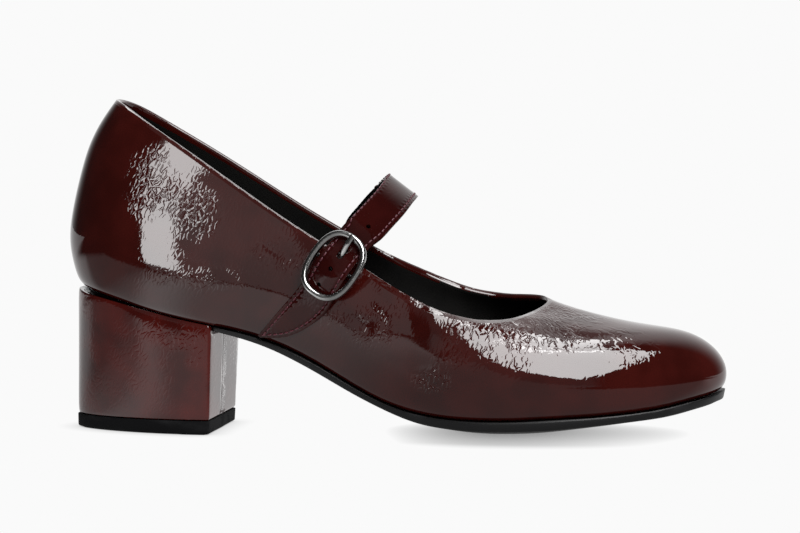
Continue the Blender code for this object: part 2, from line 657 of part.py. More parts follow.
def make_heel():
    """D-shaped block. Its rim stands up round the outsole's seat and stops at the breast."""
    foot = TOP_LIFT + GAP
    sections = []
    for share in (0.0, 0.015, 0.25, 0.5, 0.75, 0.975, 1.0):
        plan, front = heel_section((share * 46 + foot) / 52.0)
        if share in (0.0, 1.0):
            centre = plan.mean(axis=0)
            plan = centre + (plan - centre) * (1 - 0.4 / 25)
        seat, rim = heel_rim(plan)
        top = np.where(front, seat, rim)
        sections.append(np.c_[plan, foot + share * (top - foot)])
    points, faces, count = block("heel", sections)
    cap_rings(points, faces, 0, count, lambda x, y: np.full(len(x), foot))
    # inside of the rim, then the seat
    plan, front = heel_section(1.0)
    inner = inset_loop(plan, RIM - 0.5, front)
    start = len(points)
    seat, rim = heel_rim(inner)
    points.extend(map(tuple, np.c_[inner, np.where(front, seat, rim)]))
    inner2 = inset_loop(plan, RIM - 0.1, front)
    seat, rim = heel_rim(inner2)
    points.extend(map(tuple, np.c_[inner2, seat]))
    top_start = (len(sections) - 1) * count
    for base, nxt in ((top_start, start), (start, start + count)):
        for k in range(count):
            m = (k + 1) % count
            faces.append((base + k, base + m, nxt + m, nxt + k))
    cap_rings(points, faces, start + count, count, lambda x, y: sole_bottom(x, y) - SEAT_GAP)
    obj = make_object("heel", points, faces)
    weld(obj, 0.00001)
    return obj


def inset_loop(plan, distance, front):
    """The D outline moved in by a distance at its back and sides, with the flat breast left where it is."""
    x1 = plan[:, 0].max()
    centre = np.array([x1, 0.0])
    half = np.abs(plan[:, 1]).max()
    depth = x1 - plan[:, 0].min()
    shape = (plan - centre) / np.array([depth, half])
    moved = centre + shape * np.array([depth - distance, half - distance])
    moved[:, 0] = np.where(front, x1, moved[:, 0])
    return moved


def make_top_lift():
    sections = []
    for z, grow in ((0.0, -0.5), (0.5, 0.0), (TOP_LIFT - 0.3, 0.1), (TOP_LIFT, -0.2)):
        plan, _front = heel_section(z / 52.0)
        centre = plan.mean(axis=0)
        plan = centre + (plan - centre) * (1 + grow / 25)
        sections.append(np.c_[plan, np.full(len(plan), z)])
    points, faces, count = block("top_lift", sections)
    cap_rings(points, faces, 0, count, lambda x, y: np.full(len(x), 0.0), rings=(0.5,))
    cap_rings(points, faces, (len(sections) - 1) * count, count, lambda x, y: np.full(len(x), TOP_LIFT), rings=(0.5,))
    obj = make_object("top_lift", points, faces)
    weld(obj)
    return obj


class BuckleFrame:
    """Axes of the buckle on the outer quarter: u along the strap, v across it, h outwards."""

    def __init__(self):
        here, normal = LAST.outer_side([BUCKLE_X], [BUCKLE_Z])
        self.origin, self.h = here[0], normal[0]
        tilt = math.radians(BUCKLE_SLANT)
        v = np.array([math.cos(tilt), 0.0, -math.sin(tilt)])
        v -= self.h * (v @ self.h)
        self.v = v / np.linalg.norm(v)
        u = np.cross(self.v, self.h)
        self.u = u if u[2] > 0 else -u

    def place(self, u, v, h):
        u, v, h = np.broadcast_arrays(*(np.asarray(c, float) for c in (u, v, h)))
        return self.origin + u[..., None] * self.u + v[..., None] * self.v + h[..., None] * self.h


BUCKLE = BuckleFrame()
ACROSS = np.linspace(-0.5, 0.5, 7)


def strap_rows():
    """Points of the strap's outer face, (rows, len(ACROSS), 3), from the free tip to the inner topline."""
    rows = []
    run = column(STRAP_END, STRAP_END_COLUMNS, "run")
    line = Spline(run, [row[1:] for row in STRAP_END])
    for at in np.concatenate([[0.0, 0.7, 1.5], np.arange(3.0, 24.1, 3.0)]):
        x, z, slant, width, height = line(at)[0]
        tilt = math.radians(slant)
        step = (ACROSS + 0.5) * max(width, 0.5)
        here, normal = LAST.outer_side(x + step * math.cos(tilt), z - step * math.sin(tilt))
        rows.append(here + normal * height)
    for u, h, droop in STRAP_IN_BUCKLE:
        rows.append(BUCKLE.place(u, ACROSS * STRAP_WIDTH_IN_BUCKLE, h - droop * (2 * ACROSS) ** 2))
    centres = np.array([row[:3] for row in STRAP_ARCH])
    tangents = np.gradient(centres, axis=0)
    for (x, y, z, slant), along in zip(STRAP_ARCH, tangents):
        tilt = math.radians(slant)
        wide = np.array([math.cos(tilt), 0.0, -math.sin(tilt)])
        along = along / np.linalg.norm(along)
        wide = wide - along * (wide @ along) * 0.7
        wide /= np.linalg.norm(wide)
        rows.append(np.array([x, y, z]) + (ACROSS * STRAP_WIDTH)[:, None] * wide)
    s = np.linspace(LAST.knots[-12], LAST.knots[-1], 300)
    top = LAST.top(s)
    order = np.argsort(top[:, 0])
    x = np.linspace(*STRAP_INNER_ENDS, len(ACROSS))
    for rise, out in ((3.6, 0.75), (0.75, 0.0)):
        y = np.interp(x, top[order, 0], top[order, 1]) - 0.1 + 0.12 * out
        z = np.interp(x, top[order, 0], top[order, 2]) + rise
        rows.append(np.c_[x + rise * 0.35, y, z])
    return np.array(rows)


def make_strap():
    rows = strap_rows()
    middle = rows[:, len(ACROSS) // 2]
    run = np.concatenate([[0.0], np.cumsum(np.linalg.norm(np.diff(middle, axis=0), axis=1))])
    line = Spline(run, rows.reshape(len(rows), -1))
    at = np.concatenate([run[:3], np.linspace(run[3], run[-1], 42)])
    outer = line(at).reshape(len(at), len(ACROSS), 3)
    normal = np.cross(np.gradient(outer, axis=1), np.gradient(outer, axis=0))
    normal /= np.linalg.norm(normal, axis=2)[:, :, None]
    if normal[6, 3] @ np.array([0.0, -1.0, 0.0]) < 0:
        normal = -normal
    under = outer - normal * STRAP_THICK
    # one closed loop across at each row: outer face out, underside back
    loops = np.concatenate([outer, under[:, ::-1]], axis=1)
    count = loops.shape[1]
    points = loops.reshape(-1, 3)
    faces = []
    for i in range(len(at) - 1):
        for k in range(count):
            a, b = i * count + k, i * count + (k + 1) % count
            faces.append((a, b, b + count, a + count))
    half = len(ACROSS)
    for i in (0, len(at) - 1):
        for k in range(half - 1):
            a, b = i * count + k, i * count + k + 1
            c, d = i * count + count - 1 - k, i * count + count - 2 - k
            faces.append((a, b, d, c))
    obj = make_object("strap", points, faces)
    weld(obj, 0.00001)
    cut_with(obj, prong_slot())
    return obj


def prong_slot():
    """Oblong cutter for the hole that the prong comes up through."""
    loop = []
    for centre, turn in ((6.8, 0.0), (4.15, math.pi)):
        for k in range(7):
            a = turn - math.pi / 2 + math.pi * k / 6
            loop.append((centre + 1.25 * math.cos(a), 1.25 * math.sin(a)))
    sections = [BUCKLE.place([p[0] for p in loop], [p[1] for p in loop], h) for h in (0.9, 8.5)]
    count = len(loop)
    points = np.vstack(sections)
    faces = [tuple(range(count)), tuple(range(2 * count - 1, count - 1, -1))]
    faces += [(k, (k + 1) % count, count + (k + 1) % count, count + k) for k in range(count)]
    cutter = make_object("prong_slot_cutter", points, faces)
    cutter.hide_render = True
    cutter.display_type = "WIRE"
    return cutter


def cut_with(obj, cutter, operation="DIFFERENCE"):
    modifier = obj.modifiers.new("cut", "BOOLEAN")
    modifier.operation = operation
    modifier.object = cutter
    modifier.solver = "EXACT"
    bpy.context.view_layer.objects.active = obj
    bpy.ops.object.modifier_apply(modifier=modifier.name)
    bpy.data.objects.remove(cutter)


def sweep(centres, sides, ups, profile, closed):
    """Rings of a profile (side, up) along a path, as points and faces."""
    points, faces, count = [], [], len(profile)
    for c, a, b in zip(centres, sides, ups):
        points.extend(c + p * a + q * b for p, q in profile)
    steps = len(centres) if closed else len(centres) - 1
    for i in range(steps):
        j = (i + 1) % len(centres)
        for k in range(count):
            m = (k + 1) % count
            faces.append((i * count + k, i * count + m, j * count + m, j * count + k))
    if not closed:
        faces.append(tuple(range(count)))
        faces.append(tuple(range(len(points) - 1, len(points) - 1 - count, -1)))
    return np.array(points), faces


def make_buckle_frame():
    turns = np.linspace(0.0, 2 * math.pi, 64, endpoint=False)
    e = 2 / RING_POWER
    u = RING_U * np.sign(np.cos(turns)) * np.abs(np.cos(turns)) ** e
    v = RING_V * np.sign(np.sin(turns)) * np.abs(np.sin(turns)) ** e
    loop = Spline(turns, np.c_[u, v], 2 * math.pi)
    dense = loop(np.linspace(0, 2 * math.pi, 721))
    run = np.concatenate([[0.0], np.cumsum(np.linalg.norm(np.diff(dense, axis=0), axis=1))])
    at = np.interp(np.linspace(0, run[-1], 52, endpoint=False), run, np.linspace(0, 2 * math.pi, 721))
    line = loop(at)
    along = loop(at + 0.02) - loop(at - 0.02)
    along /= np.linalg.norm(along, axis=1)[:, None]
    outward = np.c_[along[:, 1], -along[:, 0]]
    outward *= np.sign((outward * line).sum(axis=1))[:, None]
    centres = BUCKLE.place(line[:, 0], line[:, 1], RING_H)
    sides = outward[:, :1] * BUCKLE.u + outward[:, 1:] * BUCKLE.v
    ups = np.repeat(BUCKLE.h[None], len(line), axis=0)
    profile = [(0.9, -1.3), (1.3, -0.8), (1.35, 0.2), (0.95, 1.05), (0.25, 1.3), (-0.45, 1.2), (-1.15, 0.45), (-1.3, -0.6), (-0.9, -1.3)]
    ring = make_object("buckle_frame", *sweep(centres, sides, ups, profile, True))
    bend = Spline([0.0, 1.0, 2.0, 3.0, 4.0, 5.0, 6.0, 7.0, 8.0], [(-8.6, 4.7), (-8.1, 3.7), (-7.1, 2.85), (-5.2, BAR_H), (0.0, BAR_H), (5.2, BAR_H), (7.1, 2.85), (8.1, 3.7), (8.6, 4.7)])
    steps = np.array([0.0, 0.5, 1.0, 1.5, 2.0, 2.5, 3.0, 4.0, 5.0, 5.5, 6.0, 6.5, 7.0, 7.5, 8.0])
    path = bend(steps)
    slope = bend(steps + 0.05) - bend(steps - 0.05)
    slope /= np.linalg.norm(slope, axis=1)[:, None]
    centres = BUCKLE.place(0.0, path[:, 0], path[:, 1])
    sides = np.repeat(BUCKLE.u[None], len(path), axis=0)
    ups = -slope[:, 1:] * BUCKLE.v + slope[:, :1] * BUCKLE.h
    circle = [(BAR_R * math.cos(2 * math.pi * k / 8), BAR_R * math.sin(2 * math.pi * k / 8)) for k in range(8)]
    bar = make_object("centre_bar_helper", *sweep(centres, sides, ups, circle, False))
    bar.hide_render = True
    bar.display_type = "WIRE"
    cut_with(ring, bar, "UNION")
    return ring


def make_buckle_prong():
    radius = BAR_R + GAP + PRONG_THICK / 2
    turns = np.radians(np.linspace(-35.0, -257.0, 11))
    path = [(radius * math.cos(a), BAR_H + radius * math.sin(a)) for a in turns]
    line = Spline(range(len(PRONG)), PRONG)
    path += [tuple(p) for p in line(np.linspace(0.0, len(PRONG) - 1, 15))]
    path = np.array(path)
    keep = np.concatenate([[True], np.linalg.norm(np.diff(path, axis=0), axis=1) > 0.15])
    path = path[keep]
    along = np.gradient(path, axis=0)
    along /= np.linalg.norm(along, axis=1)[:, None]
    centres = BUCKLE.place(path[:, 0], 0.0, path[:, 1])
    sides = np.repeat(BUCKLE.v[None], len(path), axis=0)
    ups = -along[:, 1:] * BUCKLE.u + along[:, :1] * BUCKLE.h
    a, b = PRONG_WIDE / 2, PRONG_THICK / 2
    profile = [(-a, -b * 0.6), (-a * 0.8, -b), (a * 0.8, -b), (a, -b * 0.6), (a, b * 0.5), (a * 0.7, b), (-a * 0.7, b), (-a, b * 0.5)]
    return make_object("buckle_prong", *sweep(centres, sides, ups, profile, False))


for old in list(bpy.data.objects):
    bpy.data.objects.remove(old)

make_upper()
make_insole()
make_outsole()
make_heel()
make_top_lift()
make_strap()
make_buckle_frame()
make_buckle_prong()
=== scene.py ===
"""Mary Jane pump, right shoe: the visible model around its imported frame.

A burgundy crinkled patent upper on a wrapped block heel, an instep strap with a pointed free end that
runs through an oval metal buckle, black linings and a thin black rubber sole. Lengths in the sub-assembly
and finish classes are millimetres in the shoe's own frame: +X to the toe, -Y to the outer side, +Z up.
The studio's lengths are metres.
"""

from __future__ import annotations

import json
import logging
import math
from dataclasses import dataclass
from enum import Enum
from typing import Any, Sequence

import bmesh
import bpy
import numpy as np
from mathutils import Matrix, Vector, noise
from mathutils.bvhtree import BVHTree
from mathutils.kdtree import KDTree

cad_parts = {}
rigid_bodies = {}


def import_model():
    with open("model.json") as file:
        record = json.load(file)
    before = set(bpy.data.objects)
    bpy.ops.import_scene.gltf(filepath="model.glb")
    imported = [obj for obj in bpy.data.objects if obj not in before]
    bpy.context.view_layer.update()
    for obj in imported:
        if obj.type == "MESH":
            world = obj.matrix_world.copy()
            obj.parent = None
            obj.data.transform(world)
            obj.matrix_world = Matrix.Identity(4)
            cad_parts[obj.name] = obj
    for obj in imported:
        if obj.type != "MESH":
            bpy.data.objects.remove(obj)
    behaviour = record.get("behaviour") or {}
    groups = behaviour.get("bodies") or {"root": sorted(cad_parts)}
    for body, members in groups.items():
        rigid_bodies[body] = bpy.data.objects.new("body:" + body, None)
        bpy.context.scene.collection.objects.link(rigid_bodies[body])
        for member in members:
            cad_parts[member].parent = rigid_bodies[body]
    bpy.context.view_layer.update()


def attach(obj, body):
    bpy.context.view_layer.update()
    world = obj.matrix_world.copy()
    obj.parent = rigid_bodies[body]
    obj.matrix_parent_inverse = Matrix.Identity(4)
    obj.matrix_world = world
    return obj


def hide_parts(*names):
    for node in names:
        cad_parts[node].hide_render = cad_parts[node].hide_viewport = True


MM = 0.001
ROOT = "root"
LOG = logging.getLogger("mary_jane")
Point = tuple[float, float, float]
Span = tuple[float, float]
Inputs = dict[Any, Any] | Sequence[Any]

SMOOTH = {"interpolation_type": "SMOOTHSTEP"}
# the Mix node's own numbers for its two colours, their result, and its two floats
COLOUR_A, COLOUR_B, COLOUR_OUT = 6, 7, 2
FLOAT_A, FLOAT_B = 2, 3


# ---------------------------------------------------------------- colours and nodes


def linear(code: str) -> tuple[float, float, float, float]:
    """Turns an sRGB hex colour to Blender's linear values.

    Args:
        code: six hex digits with a leading hash.

    Returns:
        Linear red, green and blue, and a full alpha.
    """
    parts = [int(code[i:i + 2], 16) / 255 for i in (1, 3, 5)]
    red, green, blue = (c / 12.92 if c <= 0.04045 else ((c + 0.055) / 1.055) ** 2.4 for c in parts)
    return red, green, blue, 1.0


def set_inputs(tree: bpy.types.NodeTree, node: bpy.types.Node, inputs: Inputs) -> None:
    """Sets or links inputs of a node.

    Args:
        tree: the node tree.
        node: the node.
        inputs: numbers, colours, sockets or nodes by input name or number, or a list of them in the
            inputs' own order. A node stands for its first output.
    """
    by_key = inputs if isinstance(inputs, dict) else dict(enumerate(inputs))
    for key, value in by_key.items():
        source = value.outputs[0] if isinstance(value, bpy.types.Node) else value
        if isinstance(source, bpy.types.NodeSocket):
            tree.links.new(source, node.inputs[key])
        else:
            node.inputs[key].default_value = source


def add(tree: bpy.types.NodeTree, kind: str, inputs: Inputs = (), **settings: Any) -> bpy.types.Node:
    """Adds one node, sets it up and links it.

    Args:
        tree: the node tree.
        kind: the node's type, without its "ShaderNode" start.
        inputs: what set_inputs takes.
        settings: properties of the node.

    Returns:
        The new node.
    """
    node = tree.nodes.new("ShaderNode" + kind)
    for name, value in settings.items():
        setattr(node, name, value)
    set_inputs(tree, node, inputs)
    return node


def cleared_tree(owner: bpy.types.Material | bpy.types.World) -> bpy.types.NodeTree:
    """Turns on the nodes of a material or world and empties them.

    Args:
        owner: the material or world.

    Returns:
        Its empty tree.
    """
    owner.use_nodes = True
    owner.node_tree.nodes.clear()
    return owner.node_tree


def start_material(
    name: str,
) -> tuple[bpy.types.Material, bpy.types.NodeTree, bpy.types.Node, bpy.types.NodeSocket]:
    """Makes an empty material with a Principled shader.

    Args:
        name: what the finish is.

    Returns:
        The material, its tree, the shader and the object coordinates.
    """
    material = bpy.data.materials.new(name)
    tree = cleared_tree(material)
    shader = add(tree, "BsdfPrincipled")
    add(tree, "OutputMaterial", {"Surface": shader})
    return material, tree, shader, add(tree, "TexCoord").outputs["Object"]


def speckle(
    tree: bpy.types.NodeTree,
    coords: Any,
    size: float,
    detail: float = 2.0,
    stretch: Point = (1, 1, 1),
    turn: Point = (0, 0, 0),
) -> bpy.types.Node:
    """Makes soft noise whose grains have a real size.

    Args:
        tree: the node tree.
        coords: coordinates in metres.
        size: grain size in millimetres.
        detail: octaves.
        stretch: how long the grains are along each turned axis.
        turn: rotation of the pattern in degrees.

    Returns:
        The noise node, whose first output is 0 to 1.
    """
    angle = tuple(math.radians(t) for t in turn)
    turned = {"Vector": coords, "Scale": stretch, "Rotation": angle}
    place = add(tree, "Mapping", turned, vector_type="TEXTURE")
    return add(tree, "TexNoise", {"Vector": place, "Scale": 1 / (size * MM), "Detail": detail})


# ---------------------------------------------------------------- finishes


@dataclass(frozen=True)
class PatentLeather:
    """Leather under a poured polyurethane film: deep colour, mirror gloss, and crinkles that break it.

    The vertex attribute "crinkle" says how strongly the film is creased, "lay" is each point's place on the
    flat pattern piece, and "inland" is its distance from the folded topline, whose edge is worn to a narrow
    slope. Real crinkles are 1 to 3 mm long. A cover wrapped round a block has its two edges butted in a seam,
    which shows only on the face ahead of "seam_ahead_of".
    """

    name: str = "crinkled_patent_leather"
    colour: str = "#2f0a07"
    deep: str = "#250604"
    deep_size: float = 14.0
    index: float = 1.5
    rough: float = 0.035
    smudge: float = 0.03
    smudge_size: float = 11.0
    cell: float = 1.5
    relief: float = 0.18
    lean: float = -28.0
    stretch: float = 2.2
    stray: float = 3.0
    stray_size: float = 3.6
    patch_size: float = 7.0
    swell_size: float = 2.8
    swell: Span = (0.12, 0.008)
    peel_size: float = 1.1
    peel: float = 0.006
    worn: Span = (0.7, 2.3)
    bevel: float = 0.0
    seam_ahead_of: float | None = None
    seam_side: float = -3.5
    seam_width: Span = (0.1, 0.75)
    seam_depth: float = 0.55
    seam_wander: float = 0.9
    seam_wander_size: float = 9.0

    def material(self) -> bpy.types.Material:
        """Builds the shader.

        Returns:
            The finished material.
        """
        material, tree, shader, coords = start_material(self.name)
        height = add(tree, "Math", [self.crinkled(tree, coords), self.worn_edge(tree)], operation="ADD")
        if self.seam_ahead_of is not None:
            height = add(tree, "Math", [height, self.seam(tree, coords)], operation="SUBTRACT")
        bump = add(tree, "Bump", {"Height": height, "Distance": MM})
        clouds = add(tree, "MapRange", [speckle(tree, coords, self.deep_size), 0.3, 0.7], **SMOOTH)
        colours = {"Factor": clouds, COLOUR_A: linear(self.deep), COLOUR_B: linear(self.colour)}
        tone = add(tree, "Mix", colours, data_type="RGBA").outputs[COLOUR_OUT]
        film = speckle(tree, coords, self.smudge_size, 4.0)
        smudged = self.rough + self.smudge
        rough = add(tree, "MapRange", [film, 0.45, 0.75, self.rough, smudged], **SMOOTH)
        looks = {"Base Color": tone, "Roughness": rough, "IOR": self.index, "Normal": bump}
        set_inputs(tree, shader, looks)
        return material

    def crinkled(self, tree: bpy.types.NodeTree, coords: bpy.types.NodeSocket) -> bpy.types.Node:
        """Works out the film's crinkles, its slow swell and its faint orange peel.

        Args:
            tree: the node tree.
            coords: the object coordinates.

        Returns:
            A node that gives the height in millimetres.
        """
        crinkle = add(tree, "Attribute", attribute_name="crinkle").outputs["Fac"]
        lay = add(tree, "Attribute", attribute_name="lay").outputs["Vector"]
        coarse = {"Vector": coords, "Scale": 1 / (self.stray_size * MM), "Detail": 2.0}
        warp = add(tree, "TexNoise", coarse).outputs["Color"]
        shift = add(tree, "VectorMath", [warp, (0.5, 0.5, 0.5)], operation="SUBTRACT")
        shift = add(tree, "VectorMath", {0: shift, "Scale": self.stray * MM}, operation="SCALE")
        bent = add(tree, "VectorMath", [lay, shift], operation="ADD")
        # crinkles run away from the topline, leaning forward, about twice as long as they are wide
        turned = {"Rotation": (0.0, 0.0, math.radians(self.lean)), "Scale": (1.0, self.stretch, 1.0)}
        place = add(tree, "Mapping", {"Vector": bent, **turned}, vector_type="TEXTURE")
        cells = {"Vector": place, "Scale": 1 / (self.cell * MM)}
        edges = add(tree, "TexVoronoi", cells, feature="DISTANCE_TO_EDGE", voronoi_dimensions="2D")
        folds = add(tree, "MapRange", [edges, 0.02, 0.3], **SMOOTH)
        patches = speckle(tree, coords, self.patch_size, 1.0)
        patches = add(tree, "MapRange", [patches, 0.34, 0.6], **SMOOTH)
        patches = add(tree, "Math", [patches, 0.75, 0.25], operation="MULTIPLY_ADD")
        depth = add(tree, "Math", [crinkle, patches], operation="MULTIPLY")
        height = add(tree, "Math", [folds, depth], operation="MULTIPLY")
        height = add(tree, "Math", [height, self.relief], operation="MULTIPLY")
        broad = speckle(tree, bent, self.swell_size, 1.0, (1.0, 2.0, 1.0), (0.0, 0.0, self.lean))
        swell = add(tree, "Math", [crinkle, *self.swell], operation="MULTIPLY_ADD")
        swell = add(tree, "Math", [broad, swell], operation="MULTIPLY")
        peel = speckle(tree, coords, self.peel_size, 1.0)
        peel = add(tree, "Math", [peel, self.peel], operation="MULTIPLY")
        slow = add(tree, "Math", [swell, peel], operation="ADD")
        return add(tree, "Math", [height, slow], operation="ADD")

    def worn_edge(self, tree: bpy.types.NodeTree) -> bpy.types.Node:
        """Works out the worn slope beside the folded topline.

        Args:
            tree: the node tree.

        Returns:
            A node that gives the height in millimetres.
        """
        inland = add(tree, "Attribute", attribute_name="inland").outputs["Fac"]
        near, far = self.worn
        return add(tree, "MapRange", [inland, near, far, 0.0, (far - near) * self.bevel])

    def seam(self, tree: bpy.types.NodeTree, coords: bpy.types.NodeSocket) -> bpy.types.Node:
        """Works out the groove of the butted seam.

        Args:
            tree: the node tree.
            coords: the object coordinates.

        Returns:
            A node that gives the groove's depth in millimetres.
        """
        x, y, _ = add(tree, "SeparateXYZ", [coords]).outputs
        wander = speckle(tree, coords, self.seam_wander_size, 1.0)
        wander = add(tree, "Math", [wander, self.seam_wander * MM], operation="MULTIPLY")
        aside = add(tree, "Math", [y, self.seam_side * MM], operation="SUBTRACT")
        aside = add(tree, "Math", [aside, wander], operation="ADD")
        aside = add(tree, "Math", [aside], operation="ABSOLUTE")
        narrow, wide = (width * MM for width in self.seam_width)
        groove = add(tree, "MapRange", [aside, narrow, wide, self.seam_depth, 0.0], **SMOOTH)
        front = self.seam_ahead_of
        ahead = add(tree, "MapRange", [x, (front - 1) * MM, front * MM], **SMOOTH)
        return add(tree, "Math", [groove, ahead], operation="MULTIPLY")


@dataclass(frozen=True)
class SoftLining:
    """Black pigmented lining leather: nearly matt, with a fine grain that catches a little light."""

    name: str = "black_lining_leather"
    colour: str = "#090909"
    worn: str = "#11100f"
    rough: float = 0.62
    shine: float = 0.06
    grain: float = 0.55
    pore_depth: float = 0.03
    swell_size: float = 2.4
    swell: float = 0.05

    def material(self) -> bpy.types.Material:
        """Builds the shader.

        Returns:
            The finished material.
        """
        material, tree, shader, coords = start_material(self.name)
        pores = add(tree, "TexVoronoi", {"Vector": coords, "Scale": 1 / (self.grain * MM)}, feature="F1")
        swell = speckle(tree, coords, self.swell_size)
        swell = add(tree, "Math", [swell, self.swell], operation="MULTIPLY")
        height = add(tree, "Math", [pores, self.pore_depth, swell], operation="MULTIPLY_ADD")
        bump = add(tree, "Bump", {"Height": height, "Distance": MM})
        clouds = speckle(tree, coords, 5.0, 4.0)
        colours = {"Factor": clouds, COLOUR_A: linear(self.colour), COLOUR_B: linear(self.worn)}
        tone = add(tree, "Mix", colours, data_type="RGBA").outputs[COLOUR_OUT]
        looks = {"Base Color": tone, "Roughness": self.rough, "Specular IOR Level": self.shine}
        set_inputs(tree, shader, {**looks, "Normal": bump})
        return material


@dataclass(frozen=True)
class Rubber:
    """Moulded black rubber: satin, slightly grey, with a faint tool texture and scuffs along the shoe."""

    name: str = "moulded_black_rubber"
    colour: str = "#101011"
    scuff: str = "#1b1b1c"
    rough: float = 0.42
    scuffed: float = 0.2
    shine: float = 0.25
    texture_size: float = 0.6
    texture: float = 0.03

    def material(self) -> bpy.types.Material:
        """Builds the shader.

        Returns:
            The finished material.
        """
        material, tree, shader, coords = start_material(self.name)
        scuffs = speckle(tree, coords, 6.0, 6.0, (4.0, 1.0, 1.0))
        scuffs = add(tree, "MapRange", [scuffs, 0.5, 0.72], **SMOOTH)
        colours = {"Factor": scuffs, COLOUR_A: linear(self.colour), COLOUR_B: linear(self.scuff)}
        tone = add(tree, "Mix", colours, data_type="RGBA").outputs[COLOUR_OUT]
        height = speckle(tree, coords, self.texture_size)
        height = add(tree, "Math", [height, self.texture], operation="MULTIPLY")
        bump = add(tree, "Bump", {"Height": height, "Distance": MM})
        rough = add(tree, "Math", [scuffs, self.scuffed, self.rough], operation="MULTIPLY_ADD")
        looks = {"Base Color": tone, "Roughness": rough, "Specular IOR Level": self.shine}
        set_inputs(tree, shader, {**looks, "Normal": bump})
        return material


@dataclass(frozen=True)
class Thread:
    """Bonded polyester sewing thread: a twist of fine filaments with a slight silk."""

    name: str = "bonded_thread"
    colour: str = "#300b13"
    light: str = "#551e2a"
    rough: float = 0.45
    twist_size: float = 0.5
    twist: float = 0.08

    def material(self) -> bpy.types.Material:
        """Builds the shader.

        Returns:
            The finished material.
        """
        material, tree, shader, coords = start_material(self.name)
        twist = speckle(tree, coords, self.twist_size, 1.0)
        colours = {"Factor": twist, COLOUR_A: linear(self.colour), COLOUR_B: linear(self.light)}
        tone = add(tree, "Mix", colours, data_type="RGBA").outputs[COLOUR_OUT]
        height = add(tree, "Math", [twist, self.twist], operation="MULTIPLY")
        bump = add(tree, "Bump", {"Height": height, "Distance": MM})
        set_inputs(tree, shader, {"Base Color": tone, "Roughness": self.rough, "Normal": bump})
        return material


@dataclass(frozen=True)
class NickelPlate:
    """Die-cast zinc with a polished dark nickel plate: mirror-like, with fine scratches from wear."""

    name: str = "polished_nickel_plate"
    colour: str = "#b9b9b8"
    dull: str = "#949493"
    rough: Span = (0.13, 0.27)
    scratch_size: float = 0.4
    scratch_depth: float = 0.006
    cloud_size: float = 3.0

    def material(self) -> bpy.types.Material:
        """Builds the shader.

        Returns:
            The finished material.
        """
        material, tree, shader, coords = start_material(self.name)
        scratches = speckle(tree, coords, self.scratch_size, 4.0, (8.0, 1.0, 1.0), (0.0, 35.0, 0.0))
        clouds = speckle(tree, coords, self.cloud_size, 3.0)
        colours = {"Factor": clouds, COLOUR_A: linear(self.dull), COLOUR_B: linear(self.colour)}
        tone = add(tree, "Mix", colours, data_type="RGBA").outputs[COLOUR_OUT]
        rough = add(tree, "MapRange", [scratches, 0.35, 0.75, *self.rough], **SMOOTH)
        height = add(tree, "Math", [scratches, self.scratch_depth], operation="MULTIPLY")
        bump = add(tree, "Bump", {"Height": height, "Distance": MM})
        set_inputs(tree, shader, {"Base Color": tone, "Metallic": 1.0, "Roughness": rough, "Normal": bump})
        return material


# ---------------------------------------------------------------- mesh helpers


def activate(piece: bpy.types.Object) -> None:
    """Makes a piece the only selected and active object.

    Args:
        piece: the piece.
    """
    bpy.ops.object.select_all(action="DESELECT")
    piece.select_set(True)
    bpy.context.view_layer.objects.active = piece


def refined(node: str, name: str, levels: int, sharp: float, crease: float) -> bpy.types.Object:
    """Copies a CAD node, merges it to quads and gives it a smooth surface.

    Args:
        node: the CAD node.
        name: the new piece.
        levels: subdivisions.
        sharp: edges that bend more than this many degrees keep a crease.
        crease: how sharp those edges stay, 0 to 1.

    Returns:
        The new piece, at the origin.
    """
    piece = bpy.data.objects.new(name, bpy.data.objects[node].data.copy())
    bpy.context.scene.collection.objects.link(piece)
    piece.data.materials.clear()
    activate(piece)
    bpy.ops.object.mode_set(mode="EDIT")
    bpy.ops.mesh.select_all(action="SELECT")
    bpy.ops.mesh.remove_doubles(threshold=1e-6)
    bpy.ops.mesh.tris_convert_to_quads(face_threshold=math.radians(45), shape_threshold=math.radians(60))
    bpy.ops.object.mode_set(mode="OBJECT")
    crease_edges(piece, sharp, crease)
    smooth(piece, levels)
    return piece


def crease_edges(piece: bpy.types.Object, sharp: float, crease: float) -> None:
    """Gives every edge that bends more than an angle a subdivision crease.

    Args:
        piece: the piece.
        sharp: the angle in degrees.
        crease: how sharp those edges stay, 0 to 1.
    """
    shape = bmesh.new()
    shape.from_mesh(piece.data)
    layer = shape.edges.layers.float.new("crease_edge")
    for edge in shape.edges:
        if len(edge.link_faces) == 2 and edge.calc_face_angle(0.0) > math.radians(sharp):
            edge[layer] = crease
    shape.to_mesh(piece.data)
    shape.free()


def smooth(piece: bpy.types.Object, levels: int) -> None:
    """Subdivides a piece for good and shades it smooth.

    Args:
        piece: the piece.
        levels: how many times.
    """
    activate(piece)
    modifier = piece.modifiers.new("surface", "SUBSURF")
    modifier.levels = modifier.render_levels = levels
    bpy.ops.object.modifier_apply(modifier=modifier.name)
    bpy.ops.object.shade_smooth()


def arrays(piece: bpy.types.Object) -> tuple[np.ndarray, np.ndarray]:
    """Reads a piece's vertices.

    Args:
        piece: the piece.

    Returns:
        Their places in millimetres and their unit normals.
    """
    count = len(piece.data.vertices)
    points, normals = np.zeros(count * 3), np.zeros(count * 3)
    piece.data.vertices.foreach_get("co", points)
    piece.data.vertex_normals.foreach_get("vector", normals)
    return points.reshape(-1, 3) / MM, normals.reshape(-1, 3)


